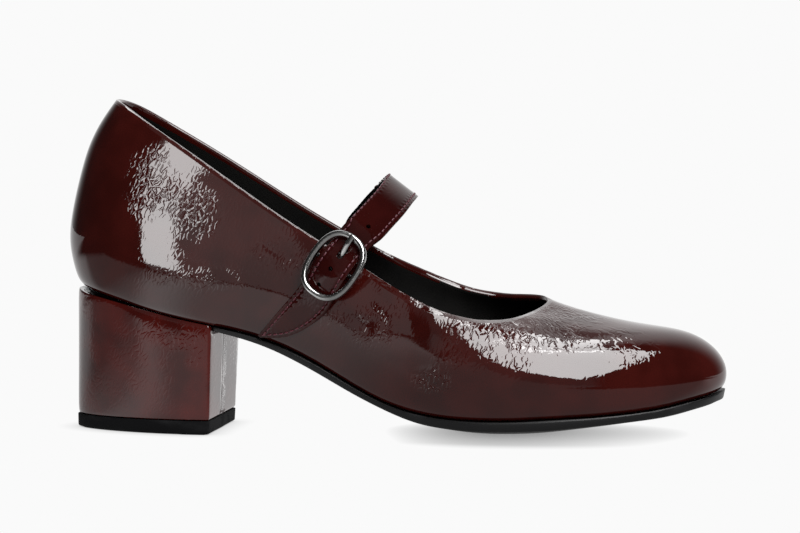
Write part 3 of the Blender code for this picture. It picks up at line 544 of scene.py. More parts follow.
def faces_of(piece: bpy.types.Object) -> tuple[np.ndarray, np.ndarray]:
    """Reads a piece's faces.

    Args:
        piece: the piece.

    Returns:
        Their centres in millimetres and their unit normals.
    """
    count = len(piece.data.polygons)
    centres, normals = np.zeros(count * 3), np.zeros(count * 3)
    piece.data.polygons.foreach_get("center", centres)
    piece.data.polygons.foreach_get("normal", normals)
    return centres.reshape(-1, 3) / MM, normals.reshape(-1, 3)


def face_tree(piece: bpy.types.Object, chosen: Sequence[bool] | None = None) -> BVHTree:
    """Makes a search tree of a piece's faces, in millimetres.

    Args:
        piece: the piece.
        chosen: True for each face that goes in; all of them if it is left out.

    Returns:
        The tree.
    """
    faces = [polygon.vertices[:] for polygon in piece.data.polygons]
    if chosen is not None:
        faces = [face for face, is_in in zip(faces, chosen) if is_in]
    return BVHTree.FromPolygons([vertex.co / MM for vertex in piece.data.vertices], faces)


def move_to(piece: bpy.types.Object, points: np.ndarray) -> None:
    """Puts a piece's vertices at new places, in millimetres."""
    piece.data.vertices.foreach_set("co", (points * MM).ravel())
    piece.data.update()


def store(piece: bpy.types.Object, name: str, values: np.ndarray) -> None:
    """Keeps one number per vertex as an attribute."""
    attribute = piece.data.attributes.new(name, "FLOAT", "POINT")
    attribute.data.foreach_set("value", values.astype(np.float32))


def store_lay(piece: bpy.types.Object, points: np.ndarray) -> None:
    """Keeps the unrolled place of every vertex, in metres."""
    attribute = piece.data.attributes.new("lay", "FLOAT_VECTOR", "POINT")
    attribute.data.foreach_set("vector", (lay_of(points) * MM).astype(np.float32).ravel())


def finish_piece(piece: bpy.types.Object, replaced: str | None = None) -> None:
    """Ties a finished piece to the frame.

    Args:
        piece: the piece.
        replaced: the CAD node it stands for.
    """
    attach(piece, ROOT)
    if replaced:
        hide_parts(replaced)
    LOG.info("%s: %d faces", piece.name, len(piece.data.polygons))


def ramp(values: np.ndarray, low: float, high: float) -> np.ndarray:
    """Returns a smooth step from 0 at low to 1 at high."""
    t = np.clip((values - low) / (high - low), 0, 1)
    return t * t * (3 - 2 * t)


def run_of(line: np.ndarray) -> np.ndarray:
    """Returns how far along a line each of its points lies."""
    return np.r_[0.0, np.cumsum(np.linalg.norm(np.diff(line, axis=0), axis=1))]


def relaxed(loop: np.ndarray, rounds: int) -> np.ndarray:
    """Evens out a closed loop.

    Args:
        loop: its points, a row each.
        rounds: how many times each point moves towards its neighbours' middle.

    Returns:
        The points at their new places.
    """
    for _ in range(rounds):
        loop = (np.roll(loop, 1, axis=0) + loop * 2 + np.roll(loop, -1, axis=0)) / 4
    return loop


def lay_of(
    points: np.ndarray, turning: float = 30.0, round_off: float = 33.0, foot: float = 18.0
) -> np.ndarray:
    """Works out how far each point lies round the throat and up the wall, as a flat pattern piece would.

    Args:
        points: the skin, in millimetres.
        turning: the x where the topline starts to turn round the front of the throat.
        round_off: the radius the wall is unrolled at.
        foot: the height the wall is measured from.

    Returns:
        The unrolled places, in millimetres.
    """
    x, y, z = points.T
    ahead = np.maximum(x - turning, 0)
    round_throat = np.arctan2(ahead, -y)
    behind = np.maximum(turning - x, 0) * np.sign(y)
    over = ramp(x, 0, 40)
    up = (1 - over) * (z - foot) + over * np.arctan2(z - foot, np.hypot(ahead, y)) * round_off
    return np.c_[turning + round_throat * round_off + behind, up, np.zeros(len(points))]


def waves(points: np.ndarray, size: float, seed: float) -> np.ndarray:
    """Returns soft noise, -1 to 1, of a size in millimetres at each point."""
    offset = Vector((seed, seed * 0.7, seed * 1.3))
    return np.array([noise.noise(Vector(p) / size + offset) for p in points])


@dataclass(frozen=True)
class Zone:
    """A patch of the skin: an ellipsoid round a middle, with a strength at its middle."""

    middle: Point
    radii: Point
    strength: float

    def at(self, points: np.ndarray) -> np.ndarray:
        """Returns the zone's strength at each point."""
        far = np.linalg.norm((points - np.array(self.middle)) / np.array(self.radii), axis=1)
        return self.strength * (1 - ramp(far, 0.45, 1.0))


@dataclass(frozen=True)
class Crease:
    """One soft fold in the skin: a trough where depth is positive, a ridge where it is negative."""

    start: Point
    end: Point
    width: float
    depth: float

    def push(self, points: np.ndarray, wander: np.ndarray) -> np.ndarray:
        """Works out how far each point moves along its normal.

        Args:
            points: the skin, in millimetres.
            wander: a slow noise that makes the fold stray from a straight line.

        Returns:
            The moves in millimetres, negative inwards.
        """
        a, b = np.array(self.start), np.array(self.end)
        along = np.clip(((points - a) @ (b - a)) / ((b - a) @ (b - a)), 0, 1)
        far = np.linalg.norm(points - (a + along[:, None] * (b - a)), axis=1) + wander * self.width * 0.5
        taper = np.sin(math.pi * np.clip(along, 0.02, 0.98)) ** 0.6
        return -self.depth * np.exp(-((far / self.width) ** 2)) * taper


@dataclass(frozen=True)
class Lean:
    """How far a stretch of the wall leans outwards at its top edge.

    It grows over one span of x and fades over a later one, and nothing moves in the lower share of the wall.
    """

    reach: float
    grows: Span
    fades: Span
    lower_share: float
    bend: float

    def at(self, x: np.ndarray, z: np.ndarray, top: np.ndarray) -> np.ndarray:
        """Works out the lean at each point.

        Args:
            x: how far forward the points are.
            z: how high they are.
            top: the topline's height at each point's own x.

        Returns:
            The outward moves in millimetres.
        """
        along = ramp(x, *self.grows) * (1 - ramp(x, *self.fades))
        return self.reach * along * upper_part(z, top, self.lower_share) ** self.bend


def upper_part(z: np.ndarray, top: np.ndarray, share: float) -> np.ndarray:
    """Returns 0 in the lower share of the wall, rising to 1 at its top."""
    return np.clip((z - share * top) / ((1 - share) * top), 0, 1)


# ---------------------------------------------------------------- upper


class Side(Enum):
    """Which side of the leather a face is on, and so which of the piece's two materials it wears."""

    SKIN = 0
    LINING = 1


@dataclass
class Upper:
    """The crinkled patent upper with its folded topline and black lining."""

    levels: int = 2
    sharp: float = 60.0
    crease: float = 0.8
    fold: float = 2.0
    margin_height: float = 14.0
    inland_reach: float = 9.0
    bevel: float = 0.48
    spine_ends: Span = (25.0, 18.0)
    spine_count: int = 40
    spine_window: float = 4.0
    spine_height: float = 0.4
    throat: Span = (-24.0, 76.0)
    throat_step: float = 4.0
    throat_window: float = 3.0
    toe: Span = (84.0, 104.0)
    counter: Span = (-112.0, -92.0)
    faint: float = 0.04
    dents: tuple[float, float, float] = (11.0, 0.02, 0.06)
    ripples: tuple[float, float] = (4.2, 0.05)
    leans: Sequence[Lean] = (
        Lean(3.6, (-12, 14), (44, 68), 0.5, 1.6),
        Lean(3.0, (-8, 12), (34, 52), 0.5, 1.6),
        Lean(3.0, (8, 22), (30, 42), 0.7, 1.5),
    )
    roll: float = 5.3
    roll_middle: float = 46.0
    roll_length: float = 14.0
    zones: Sequence[Zone] = (
        Zone((-86, -25, 92), (13, 16, 17), 0.9),
        Zone((-68, -28, 82), (12, 12, 13), 0.6),
        Zone((-62, -31, 58), (46, 9, 6), 0.2),
        Zone((-36, -31, 67), (17, 9, 9), 0.22),
        Zone((-6, -36, 42), (24, 9, 11), 0.22),
        Zone((14, -34, 47), (20, 10, 10), 0.16),
        Zone((38, -31, 40), (26, 18, 12), 1.0),
        Zone((60, -24, 38), (20, 18, 10), 0.8),
        Zone((64, -8, 46), (24, 20, 9), 0.6),
        Zone((84, -20, 34), (22, 16, 12), 0.35),
        Zone((20, -40, 23), (10, 6, 7), 1.0),
        Zone((40, -41, 30), (24, 7, 10), 0.3),
        Zone((-78, 26, 86), (20, 16, 22), 0.8),
        Zone((-30, 30, 62), (30, 10, 14), 0.5),
        Zone((12, 34, 42), (30, 12, 14), 0.9),
        Zone((48, 28, 40), (26, 16, 10), 0.9),
    )
    creases: Sequence[Crease] = (
        Crease((-44, -31, 71), (-32, -31, 67), 1.3, 0.35),
        Crease((-40, -31, 68), (-30, -31, 64), 1.1, 0.3),
        Crease((-36, -31, 72), (-26, -32, 70), 1.0, -0.25),
        Crease((-12, -35, 47), (-2, -37, 40), 1.6, 0.4),
        Crease((-6, -36, 50), (6, -37, 44), 1.4, 0.3),
        Crease((2, -36, 52), (14, -37, 42), 1.6, 0.35),
        Crease((10, -34, 54), (22, -37, 44), 1.5, 0.35),
        Crease((20, -33, 50), (32, -38, 40), 1.5, 0.3),
        Crease((30, -30, 47), (42, -38, 37), 1.5, 0.25),
        Crease((12, -40, 26), (24, -40, 20), 1.6, 0.45),
        Crease((15, -40, 22), (28, -41, 17), 1.4, -0.3),
        Crease((-60, -30, 52), (-20, -33, 44), 3.0, 0.2),
        Crease((8, 34, 48), (20, 36, 38), 1.6, 0.4),
        Crease((18, 34, 46), (30, 36, 36), 1.6, 0.35),
        Crease((30, 32, 44), (44, 36, 34), 1.7, 0.35),
        Crease((-30, 31, 60), (-14, 33, 50), 1.6, 0.3),
    )

    def build(self) -> None:
        """Makes the upper from its CAD shell, leans its throat outwards and creases it."""
        piece = refined("upper", "crinkled_upper", self.levels, self.sharp, self.crease)
        outer = self.sides(piece)
        points, normals = arrays(piece)
        skin = np.zeros(len(points))
        for polygon, is_outer in zip(piece.data.polygons, outer):
            if is_outer:
                skin[list(polygon.vertices)] = 1.0
        points = self.stand_up(points)
        crinkle = self.crinkling(points) * skin
        move_to(piece, points + normals * (self.push(points, crinkle) * skin)[:, None])
        store(piece, "crinkle", crinkle)
        store_lay(piece, points)
        rim = self.rim(piece, outer)
        store(piece, "inland", self.inland(piece, rim) * skin)
        self.dress(piece, outer, rim)
        finish_piece(piece, "upper")

    def crinkling(self, points: np.ndarray) -> np.ndarray:
        """Works out how strongly the film is creased: faintly between the zones, not on the stiffeners.

        Args:
            points: the skin, in millimetres.

        Returns:
            A strength for each point, 0 to 1.
        """
        strongest = np.max([zone.at(points) for zone in self.zones], axis=0)
        x = points[:, 0]
        between = self.faint * (1 - ramp(x, *self.toe)) * ramp(x, *self.counter)
        return np.maximum(strongest, between)

    def push(self, points: np.ndarray, crinkle: np.ndarray) -> np.ndarray:
        """Works out the main creases, the slow dents and the ripples of the worn skin.

        Args:
            points: the skin, in millimetres.
            crinkle: how strongly the film is creased there.

        Returns:
            How far each point moves along its normal, in millimetres.
        """
        wander = waves(points, 5.0, 3.0)
        folds = sum(crease.push(points, wander) for crease in self.creases)
        size, least, more = self.dents
        dents = waves(points, size, 9.0) * (least + more * crinkle) * (1 - ramp(points[:, 0], *self.toe))
        size, height = self.ripples
        return folds + dents + waves(points, size, 5.0) * height * crinkle

    def stand_up(self, points: np.ndarray) -> np.ndarray:
        """Leans the wall beside the throat outwards, as the worn-in topline stands.

        Args:
            points: the shell's vertices, in millimetres.

        Returns:
            Their new places.
        """
        x, z, side = points[:, 0], points[:, 2], np.sign(points[:, 1])
        top = self.topline_height(points, side)
        lean = sum(part.at(x, z, top) for part in self.leans)
        outer_roll = self.roll * np.exp(-(((x - self.roll_middle) / self.roll_length) ** 2)) * (side < 0)
        lean = lean + outer_roll * upper_part(z, top, 0.85) ** 1.6
        moved = points.copy()
        moved[:, 1] += side * lean * ramp(np.abs(points[:, 1]), 3, 14)
        return moved

    def topline_height(self, points: np.ndarray, side: np.ndarray) -> np.ndarray:
        """Works out how high the topline is at each vertex's own x and side.

        Args:
            points: the shell's vertices, in millimetres.
            side: -1 on the outer side, 1 on the inner.

        Returns:
            The heights, 20 mm or more.
        """
        x = points[:, 0]
        stations = np.arange(*self.throat, self.throat_step)
        top = np.zeros(len(points))
        for s in (-1, 1):
            wall = points[(side == s) & (np.abs(points[:, 1]) > 10)]
            near = (wall[np.abs(wall[:, 0] - station) < self.throat_window] for station in stations)
            tops = [part[:, 2].max() for part in near]
            top = np.where(side == s, np.interp(x, stations, tops), top)
        return np.maximum(top, 20)

    def sides(self, piece: bpy.types.Object) -> np.ndarray:
        """Tells the outer faces of the wall from the inner ones, by a spine through the hollow.

        Args:
            piece: the shell.

        Returns:
            True for each face of the skin, topline and turned-in margin.
        """
        centres, normals = faces_of(piece)
        points, _ = arrays(piece)
        behind, ahead = self.spine_ends
        x = np.clip(centres[:, 0], points[:, 0].min() + behind, points[:, 0].max() - ahead)
        stations = np.linspace(x.min(), x.max(), self.spine_count)
        share = self.spine_height
        spine = []
        for station in stations:
            near = points[np.abs(points[:, 0] - station) < self.spine_window]
            middle = (near[:, 1].min() + near[:, 1].max()) / 2
            spine.append((middle, near[:, 2].min() * (1 - share) + near[:, 2].max() * share))
        y, z = np.array(spine).T
        spots = np.c_[x, np.interp(x, stations, y), np.interp(x, stations, z)]
        return ((centres - spots) * normals).sum(axis=1) > 0

    def rim(self, piece: bpy.types.Object, outer: np.ndarray) -> np.ndarray:
        """Finds where skin and lining meet along the topline, and not along the margin underneath.

        Args:
            piece: the upper.
            outer: True for each outer face.

        Returns:
            The points, in millimetres.
        """
        touches = [set() for _ in piece.data.vertices]
        for polygon, is_outer in zip(piece.data.polygons, outer):
            for v in polygon.vertices:
                touches[v].add(bool(is_outer))
        points, _ = arrays(piece)
        edge = np.array([i for i, kinds in enumerate(touches) if len(kinds) == 2])
        low = {s: points[np.abs(points[:, 0] - s) < 6][:, 2].min() for s in range(-120, 124, 4)}
        underneath = np.interp(points[edge, 0], list(low), list(low.values()))
        return points[edge][points[edge, 2] > underneath + self.margin_height]

    def inland(self, piece: bpy.types.Object, rim: np.ndarray) -> np.ndarray:
        """Measures how far every vertex is from the topline.

        Args:
            piece: the upper.
            rim: the topline's points, in millimetres.

        Returns:
            The distances in millimetres, up to the reach.
        """
        points, _ = arrays(piece)
        tree = KDTree(len(rim))
        for i, spot in enumerate(rim):
            tree.insert(spot, i)
        tree.balance()
        return np.array([min(tree.find(p)[2], self.inland_reach) for p in points])

    def dress(self, piece: bpy.types.Object, outer: np.ndarray, rim: np.ndarray) -> None:
        """Gives the skin and the folded edge patent leather, and the rest of the inside its lining.

        Args:
            piece: the upper.
            outer: True for each outer face.
            rim: the topline's points, in millimetres.
        """
        piece.data.materials.append(PatentLeather(bevel=self.bevel).material())
        piece.data.materials.append(SoftLining().material())
        centres, _ = faces_of(piece)
        for polygon, centre, is_outer in zip(piece.data.polygons, centres, outer):
            folded = (not is_outer) and np.min(np.linalg.norm(rim - centre, axis=1)) < self.fold
            polygon.material_index = Side.SKIN.value if is_outer or folded else Side.LINING.value


# ---------------------------------------------------------------- heel, soles, insole


@dataclass
class Heel:
    """The block heel, wrapped in patent leather with a butted seam down the breast."""

    levels: int = 2
    sharp: float = 40.0
    crease: float = 0.9
    crinkle: float = 0.12
    cover: PatentLeather = PatentLeather(
        name="heel_cover_patent", colour="#400e0a", deep="#2c0907", index=1.42, seam_ahead_of=-68.0
    )

    def build(self) -> None:
        """Makes the wrapped heel."""
        piece = refined("heel", "wrapped_heel", self.levels, self.sharp, self.crease)
        points, _ = arrays(piece)
        store(piece, "crinkle", np.full(len(points), self.crinkle))
        store_lay(piece, points)
        piece.data.materials.append(self.cover.material())
        finish_piece(piece, "heel")


@dataclass
class Soles:
    """The thin outsole, the heel's top lift and the insole."""

    levels: int = 2
    sharp: float = 40.0
    lift_rubber: Rubber = Rubber(name="top_lift_rubber", rough=0.6, shine=0.02)
    sock: SoftLining = SoftLining(name="insole_sock_leather", colour="#0d0d0d", worn="#191817", rough=0.5)

    def build(self) -> None:
        """Makes the three pieces."""
        self.make("outsole", "rubber_outsole", 0.35, Rubber())
        self.make("top_lift", "heel_top_lift", 0.85, self.lift_rubber)
        self.make("insole", "insole_sock", 0.6, self.sock)

    def make(self, node: str, name: str, crease: float, finish: Rubber | SoftLining) -> None:
        """Makes one piece.

        Args:
            node: the CAD node.
            name: the new piece.
            crease: how sharp its edges stay, 0 to 1.
            finish: what it is made of.
        """
        piece = refined(node, name, self.levels, self.sharp, crease)
        piece.data.materials.append(finish.material())
        finish_piece(piece, node)


# ---------------------------------------------------------------- strap and buckle


def walk(first: int, beside: dict[int, list[int]], seen: set[int]) -> list[int]:
    """Follows a chain of vertices until none is left.

    Args:
        first: where it starts.
        beside: the neighbours of each vertex.
        seen: the vertices already visited, which grows.

    Returns:
        The chain.
    """
    chain = [first]
    seen.add(first)
    while onward := [n for n in beside[chain[-1]] if n not in seen]:
        seen.add(onward[0])
        chain.append(onward[0])
    return chain


@dataclass
class Strap:
    """The instep strap: patent outside, black underneath, one row of stitches inside each edge."""

    levels: int = 3
    sharp: float = 50.0
    crease: float = 0.75
    crinkle: float = 0.1
    centre: Point = (-12.0, 0.0, 55.0)
    outside: float = 0.55
    underside: float = -0.25
    inset: float = 1.5
    pitch: float = 2.3
    channel: tuple[float, float] = (0.16, 0.5)
    pucker: tuple[float, float, float] = (0.05, 1.0, 0.6)
    hole_radius: float = 0.85
    hole_depth: float = 5.0
    holes: Sequence[Point] = ((-4.7, -29.0, 76.7), (-16.6, -39.5, 62.7), (-21.3, -38.0, 56.7))
    stitch: Point = (1.0, 0.38, 0.3)
    patent: PatentLeather = PatentLeather(
        name="strap_patent_leather", colour="#300b09", deep="#260706", relief=0.1, index=1.33
    )

    def build(self) -> None:
        """Makes the strap and its stitches."""
        piece = refined("strap", "instep_strap", self.levels, self.sharp, self.crease)
        line = self.stitch_line(piece)
        self.sew(piece, line)
        self.punch(piece)
        points, _ = arrays(piece)
        store(piece, "crinkle", np.full(len(points), self.crinkle))
        store_lay(piece, points)
        self.dress(piece)
        finish_piece(piece, "strap")
        self.stitches(line)

    def facing(self, centres: np.ndarray, normals: np.ndarray) -> np.ndarray:
        """Works out how far each face looks away from the foot.

        Args:
            centres: the faces' centres, in millimetres.
            normals: their normals.

        Returns:
            A number for each face, -1 to 1.
        """
        away = centres - np.array(self.centre)
        away[:, 0] *= 0.15
        away /= np.linalg.norm(away, axis=1)[:, None]
        return (away * normals).sum(axis=1)

    def border(self, piece: bpy.types.Object, outer: np.ndarray) -> np.ndarray:
        """Walks round the longest border between the outer faces and the rest.

        Args:
            piece: the strap.
            outer: True for each face that looks away from the foot.

        Returns:
            The border's points in order, in millimetres.
        """
        shape = bmesh.new()
        shape.from_mesh(piece.data)
        shape.verts.ensure_lookup_table()
        beside: dict[int, list[int]] = {}
        for edge in shape.edges:
            faces = edge.link_faces
            if len(faces) == 2 and outer[faces[0].index] != outer[faces[1].index]:
                a, b = edge.verts[0].index, edge.verts[1].index
                beside.setdefault(a, []).append(b)
                beside.setdefault(b, []).append(a)
        seen: set[int] = set()
        chains = [walk(first, beside, seen) for first in beside if first not in seen]
        points = np.array([shape.verts[i].co[:] for i in max(chains, key=len)]) / MM
        shape.free()
        return points

    def stitch_line(self, piece: bpy.types.Object) -> np.ndarray:
        """Works out the line of the stitches, inside the outer face's edge.

        Args:
            piece: the strap.

        Returns:
            Points a quarter of a stitch apart, in millimetres, each with its normal.
        """
        outer = self.facing(*faces_of(piece)) > self.outside
        tree = face_tree(piece, outer)
        points = relaxed(self.border(piece, outer), 6)
        closed = np.vstack([points, points[:1]])
        run = run_of(closed)
        at = np.linspace(0, run[-1], int(run[-1] / (self.pitch / 4)), endpoint=False)
        line = np.c_[[np.interp(at, run, closed[:, k]) for k in range(3)]].T
        along = np.roll(line, -3, axis=0) - np.roll(line, 3, axis=0)
        inner = [self.step_in(tree, Vector(p), Vector(t)) for p, t in zip(line, along)]
        return relaxed(np.array(inner), 3)

    def step_in(self, tree: BVHTree, spot: Vector, along: Vector) -> tuple[float, ...]:
        """Steps from the edge to the stitches, whichever way stays on the face.

        Args:
            tree: the outer faces.
            spot: a place on the edge, in millimetres.
            along: the edge's direction.

        Returns:
            The place on the face and its normal.
        """
        normal = tree.find_nearest(spot)[1]
        sideways = along.cross(normal).normalized()
        tries = []
        for sign in (1, -1):
            found, found_normal, _, far = tree.find_nearest(spot + sideways * sign * self.inset)
            tries.append((far, tuple(found) + tuple(found_normal)))
        return min(tries)[1]

    def sew(self, piece: bpy.types.Object, line: np.ndarray) -> None:
        """Pulls the leather down along the stitches and lets it pucker between them.

        Args:
            piece: the strap.
            line: the line of the stitches.
        """
        points, normals = arrays(piece)
        spots = line[:, :3]
        near = np.all((points > spots.min(axis=0) - 4) & (points < spots.max(axis=0) + 4), axis=1)
        close = np.where(near)[0]
        run = run_of(spots)
        far, at = np.full(len(points), 99.0), np.zeros(len(points))
        batch = 4000
        for start in range(0, len(close), batch):
            part = close[start:start + batch]
            gap = np.linalg.norm(points[part][:, None] - spots[None], axis=2)
            best = gap.argmin(axis=1)
            far[part] = gap[np.arange(len(part)), best]
            at[part] = run[best]
        depth, width = self.channel
        push = -depth * np.exp(-((far / width) ** 2))
        height, away, width = self.pucker
        between = np.cos(2 * math.pi * at / self.pitch)
        push = push + height * np.exp(-(((far - away) / width) ** 2)) * between
        move_to(piece, points + normals * push[:, None])

    def punch(self, piece: bpy.types.Object) -> None:
        """Cuts the adjusting holes.

        Args:
            piece: the strap.
        """
        tree = face_tree(piece)
        for hole in self.holes:
            spot, normal, _, _ = tree.find_nearest(Vector(hole))
            bpy.ops.object.select_all(action="DESELECT")
            bpy.ops.mesh.primitive_cylinder_add(
                vertices=28,
                radius=self.hole_radius * MM,
                depth=self.hole_depth * MM,
                location=spot * MM,
                rotation=normal.to_track_quat("Z", "Y").to_euler(),
            )
            cutter = bpy.context.active_object
            activate(piece)
            modifier = piece.modifiers.new("hole", "BOOLEAN")
            modifier.operation, modifier.solver, modifier.object = "DIFFERENCE", "EXACT", cutter
            bpy.ops.object.modifier_apply(modifier=modifier.name)
            bpy.data.objects.remove(cutter)

    def dress(self, piece: bpy.types.Object) -> None:
        """Gives the outside patent leather and the underside its lining.

        Args:
            piece: the strap.
        """
        piece.data.materials.clear()
        piece.data.materials.append(self.patent.material())
        piece.data.materials.append(SoftLining(name="strap_lining").material())
        for polygon, facing in zip(piece.data.polygons, self.facing(*faces_of(piece))):
            polygon.material_index = Side.LINING.value if facing < self.underside else Side.SKIN.value

    def stitches(self, line: np.ndarray) -> None:
        """Models one stitch and copies it round the strap.

        Args:
            line: the line of the stitches.
        """
        bpy.ops.object.select_all(action="DESELECT")
        bpy.ops.mesh.primitive_uv_sphere_add(segments=8, ring_count=6, radius=MM)
        model = bpy.context.active_object
        model.data.transform(Matrix.Diagonal((*self.stitch, 1.0)))
        run = run_of(line[:, :3])
        copies = []
        for k in range(int(run[-1] / self.pitch)):
            copy = bpy.data.objects.new("stitch", model.data.copy())
            copy.data.transform(self.stitch_place(line, run, (k + 0.5) * self.pitch))
            bpy.context.scene.collection.objects.link(copy)
            copies.append(copy)
        bpy.data.objects.remove(model)
        activate(copies[0])
        for copy in copies:
            copy.select_set(True)
        bpy.ops.object.join()
        joined = bpy.context.active_object
        joined.name = "strap_stitches"
        bpy.ops.object.shade_smooth()
        joined.data.materials.clear()
        joined.data.materials.append(Thread().material())
        finish_piece(joined)

    def stitch_place(self, line: np.ndarray, run: np.ndarray, at: float) -> Matrix:
        """Works out where one stitch lies, sunk a little into its channel.

        Args:
            line: the line of the stitches.
            run: how far along each of its points is.
            at: how far along the stitch is.

        Returns:
            Its place, in metres.
        """
        here, ahead = ([np.interp(at + d, run, line[:, c]) for c in range(6)] for d in (0.0, 0.3))
        spot, normal = Vector(here[:3]), Vector(here[3:]).normalized()
        along = Vector(ahead[:3]) - spot
        along = (along - normal * along.dot(normal)).normalized()
        place = Matrix((along, normal.cross(along), normal)).transposed().to_4x4()
        place.translation = (spot - normal * 0.02) * MM
        return place


@dataclass
class Buckle:
    """The oval ring with its centre bar under the strap, and the prong that hooks over it."""

    levels: int = 2

    def build(self) -> None:
        """Makes both metal pieces."""
        metal = NickelPlate().material()
        ring = refined("buckle_frame", "buckle_ring", self.levels, 70.0, 0.3)
        prong = refined("buckle_prong", "buckle_tongue", self.levels, 50.0, 0.5)
        for piece, node in ((ring, "buckle_frame"), (prong, "buckle_prong")):
            piece.data.materials.append(metal)
            finish_piece(piece, node)


# ---------------------------------------------------------------- studio


@dataclass(frozen=True)
class Softbox:
    """One area light: its middle in metres, where its back points, its roll, its size and its brightness.

    The back's azimuth is counted from the outer side towards the toe, and its elevation up from the table,
    both in degrees. A light with "only" reaches that one piece, and one with "spares" every piece but that
    one. A light for one piece adds shine and no fill, or, with shines off, fill and no shine.
    """

    name: str
    middle: Point
    back: tuple[float, float]
    roll: float
    size: tuple[float, float]
    radiance: float
    only: str = ""
    shines: bool = True
    spares: str = ""

    def build(self) -> None:
        """Hangs the light with its face away from its back."""
        light = bpy.data.lights.new(self.name, "AREA")
        light.shape = "RECTANGLE"
        light.size, light.size_y = self.size
        light.energy = self.radiance * math.pi * self.size[0] * self.size[1]
        holder = bpy.data.objects.new(self.name, light)
        bpy.context.scene.collection.objects.link(holder)
        azimuth, elevation = self.back
        z = direction(azimuth, elevation)
        level = direction(azimuth + 90, 0)
        roll = math.radians(self.roll)
        x = level * math.cos(roll) + z.cross(level) * math.sin(roll)
        turn = Matrix((x, z.cross(x), z)).transposed().to_4x4()
        turn.translation = Vector(self.middle)
        holder.matrix_world = turn
        holder.visible_camera = False
        holder.visible_diffuse = not (self.only and self.shines)
        holder.visible_glossy = self.shines
        if self.only or self.spares:
            self.flag_off(holder)

    def flag_off(self, holder: bpy.types.Object) -> None:
        """Keeps the light off the pieces it isn't for.

        Args:
            holder: the light's object.
        """
        lit = bpy.data.collections.new(self.name)
        for piece in bpy.context.scene.objects:
            spared = piece.type != "MESH" or piece.name == self.spares
            if piece.name == self.only if self.only else not spared:
                lit.objects.link(piece)
        holder.light_linking.receiver_collection = lit


def direction(azimuth: float, elevation: float) -> Vector:
    """Makes a unit vector.

    Args:
        azimuth: degrees from the outer side towards the toe.
        elevation: degrees up from the table.

    Returns:
        The vector.
    """
    a, e = math.radians(azimuth), math.radians(elevation)
    return Vector((math.sin(a) * math.cos(e), -math.cos(a) * math.cos(e), math.sin(e)))


def radians(span: Span) -> list[float]:
    """Returns two angles in radians."""
    return [math.radians(angle) for angle in span]


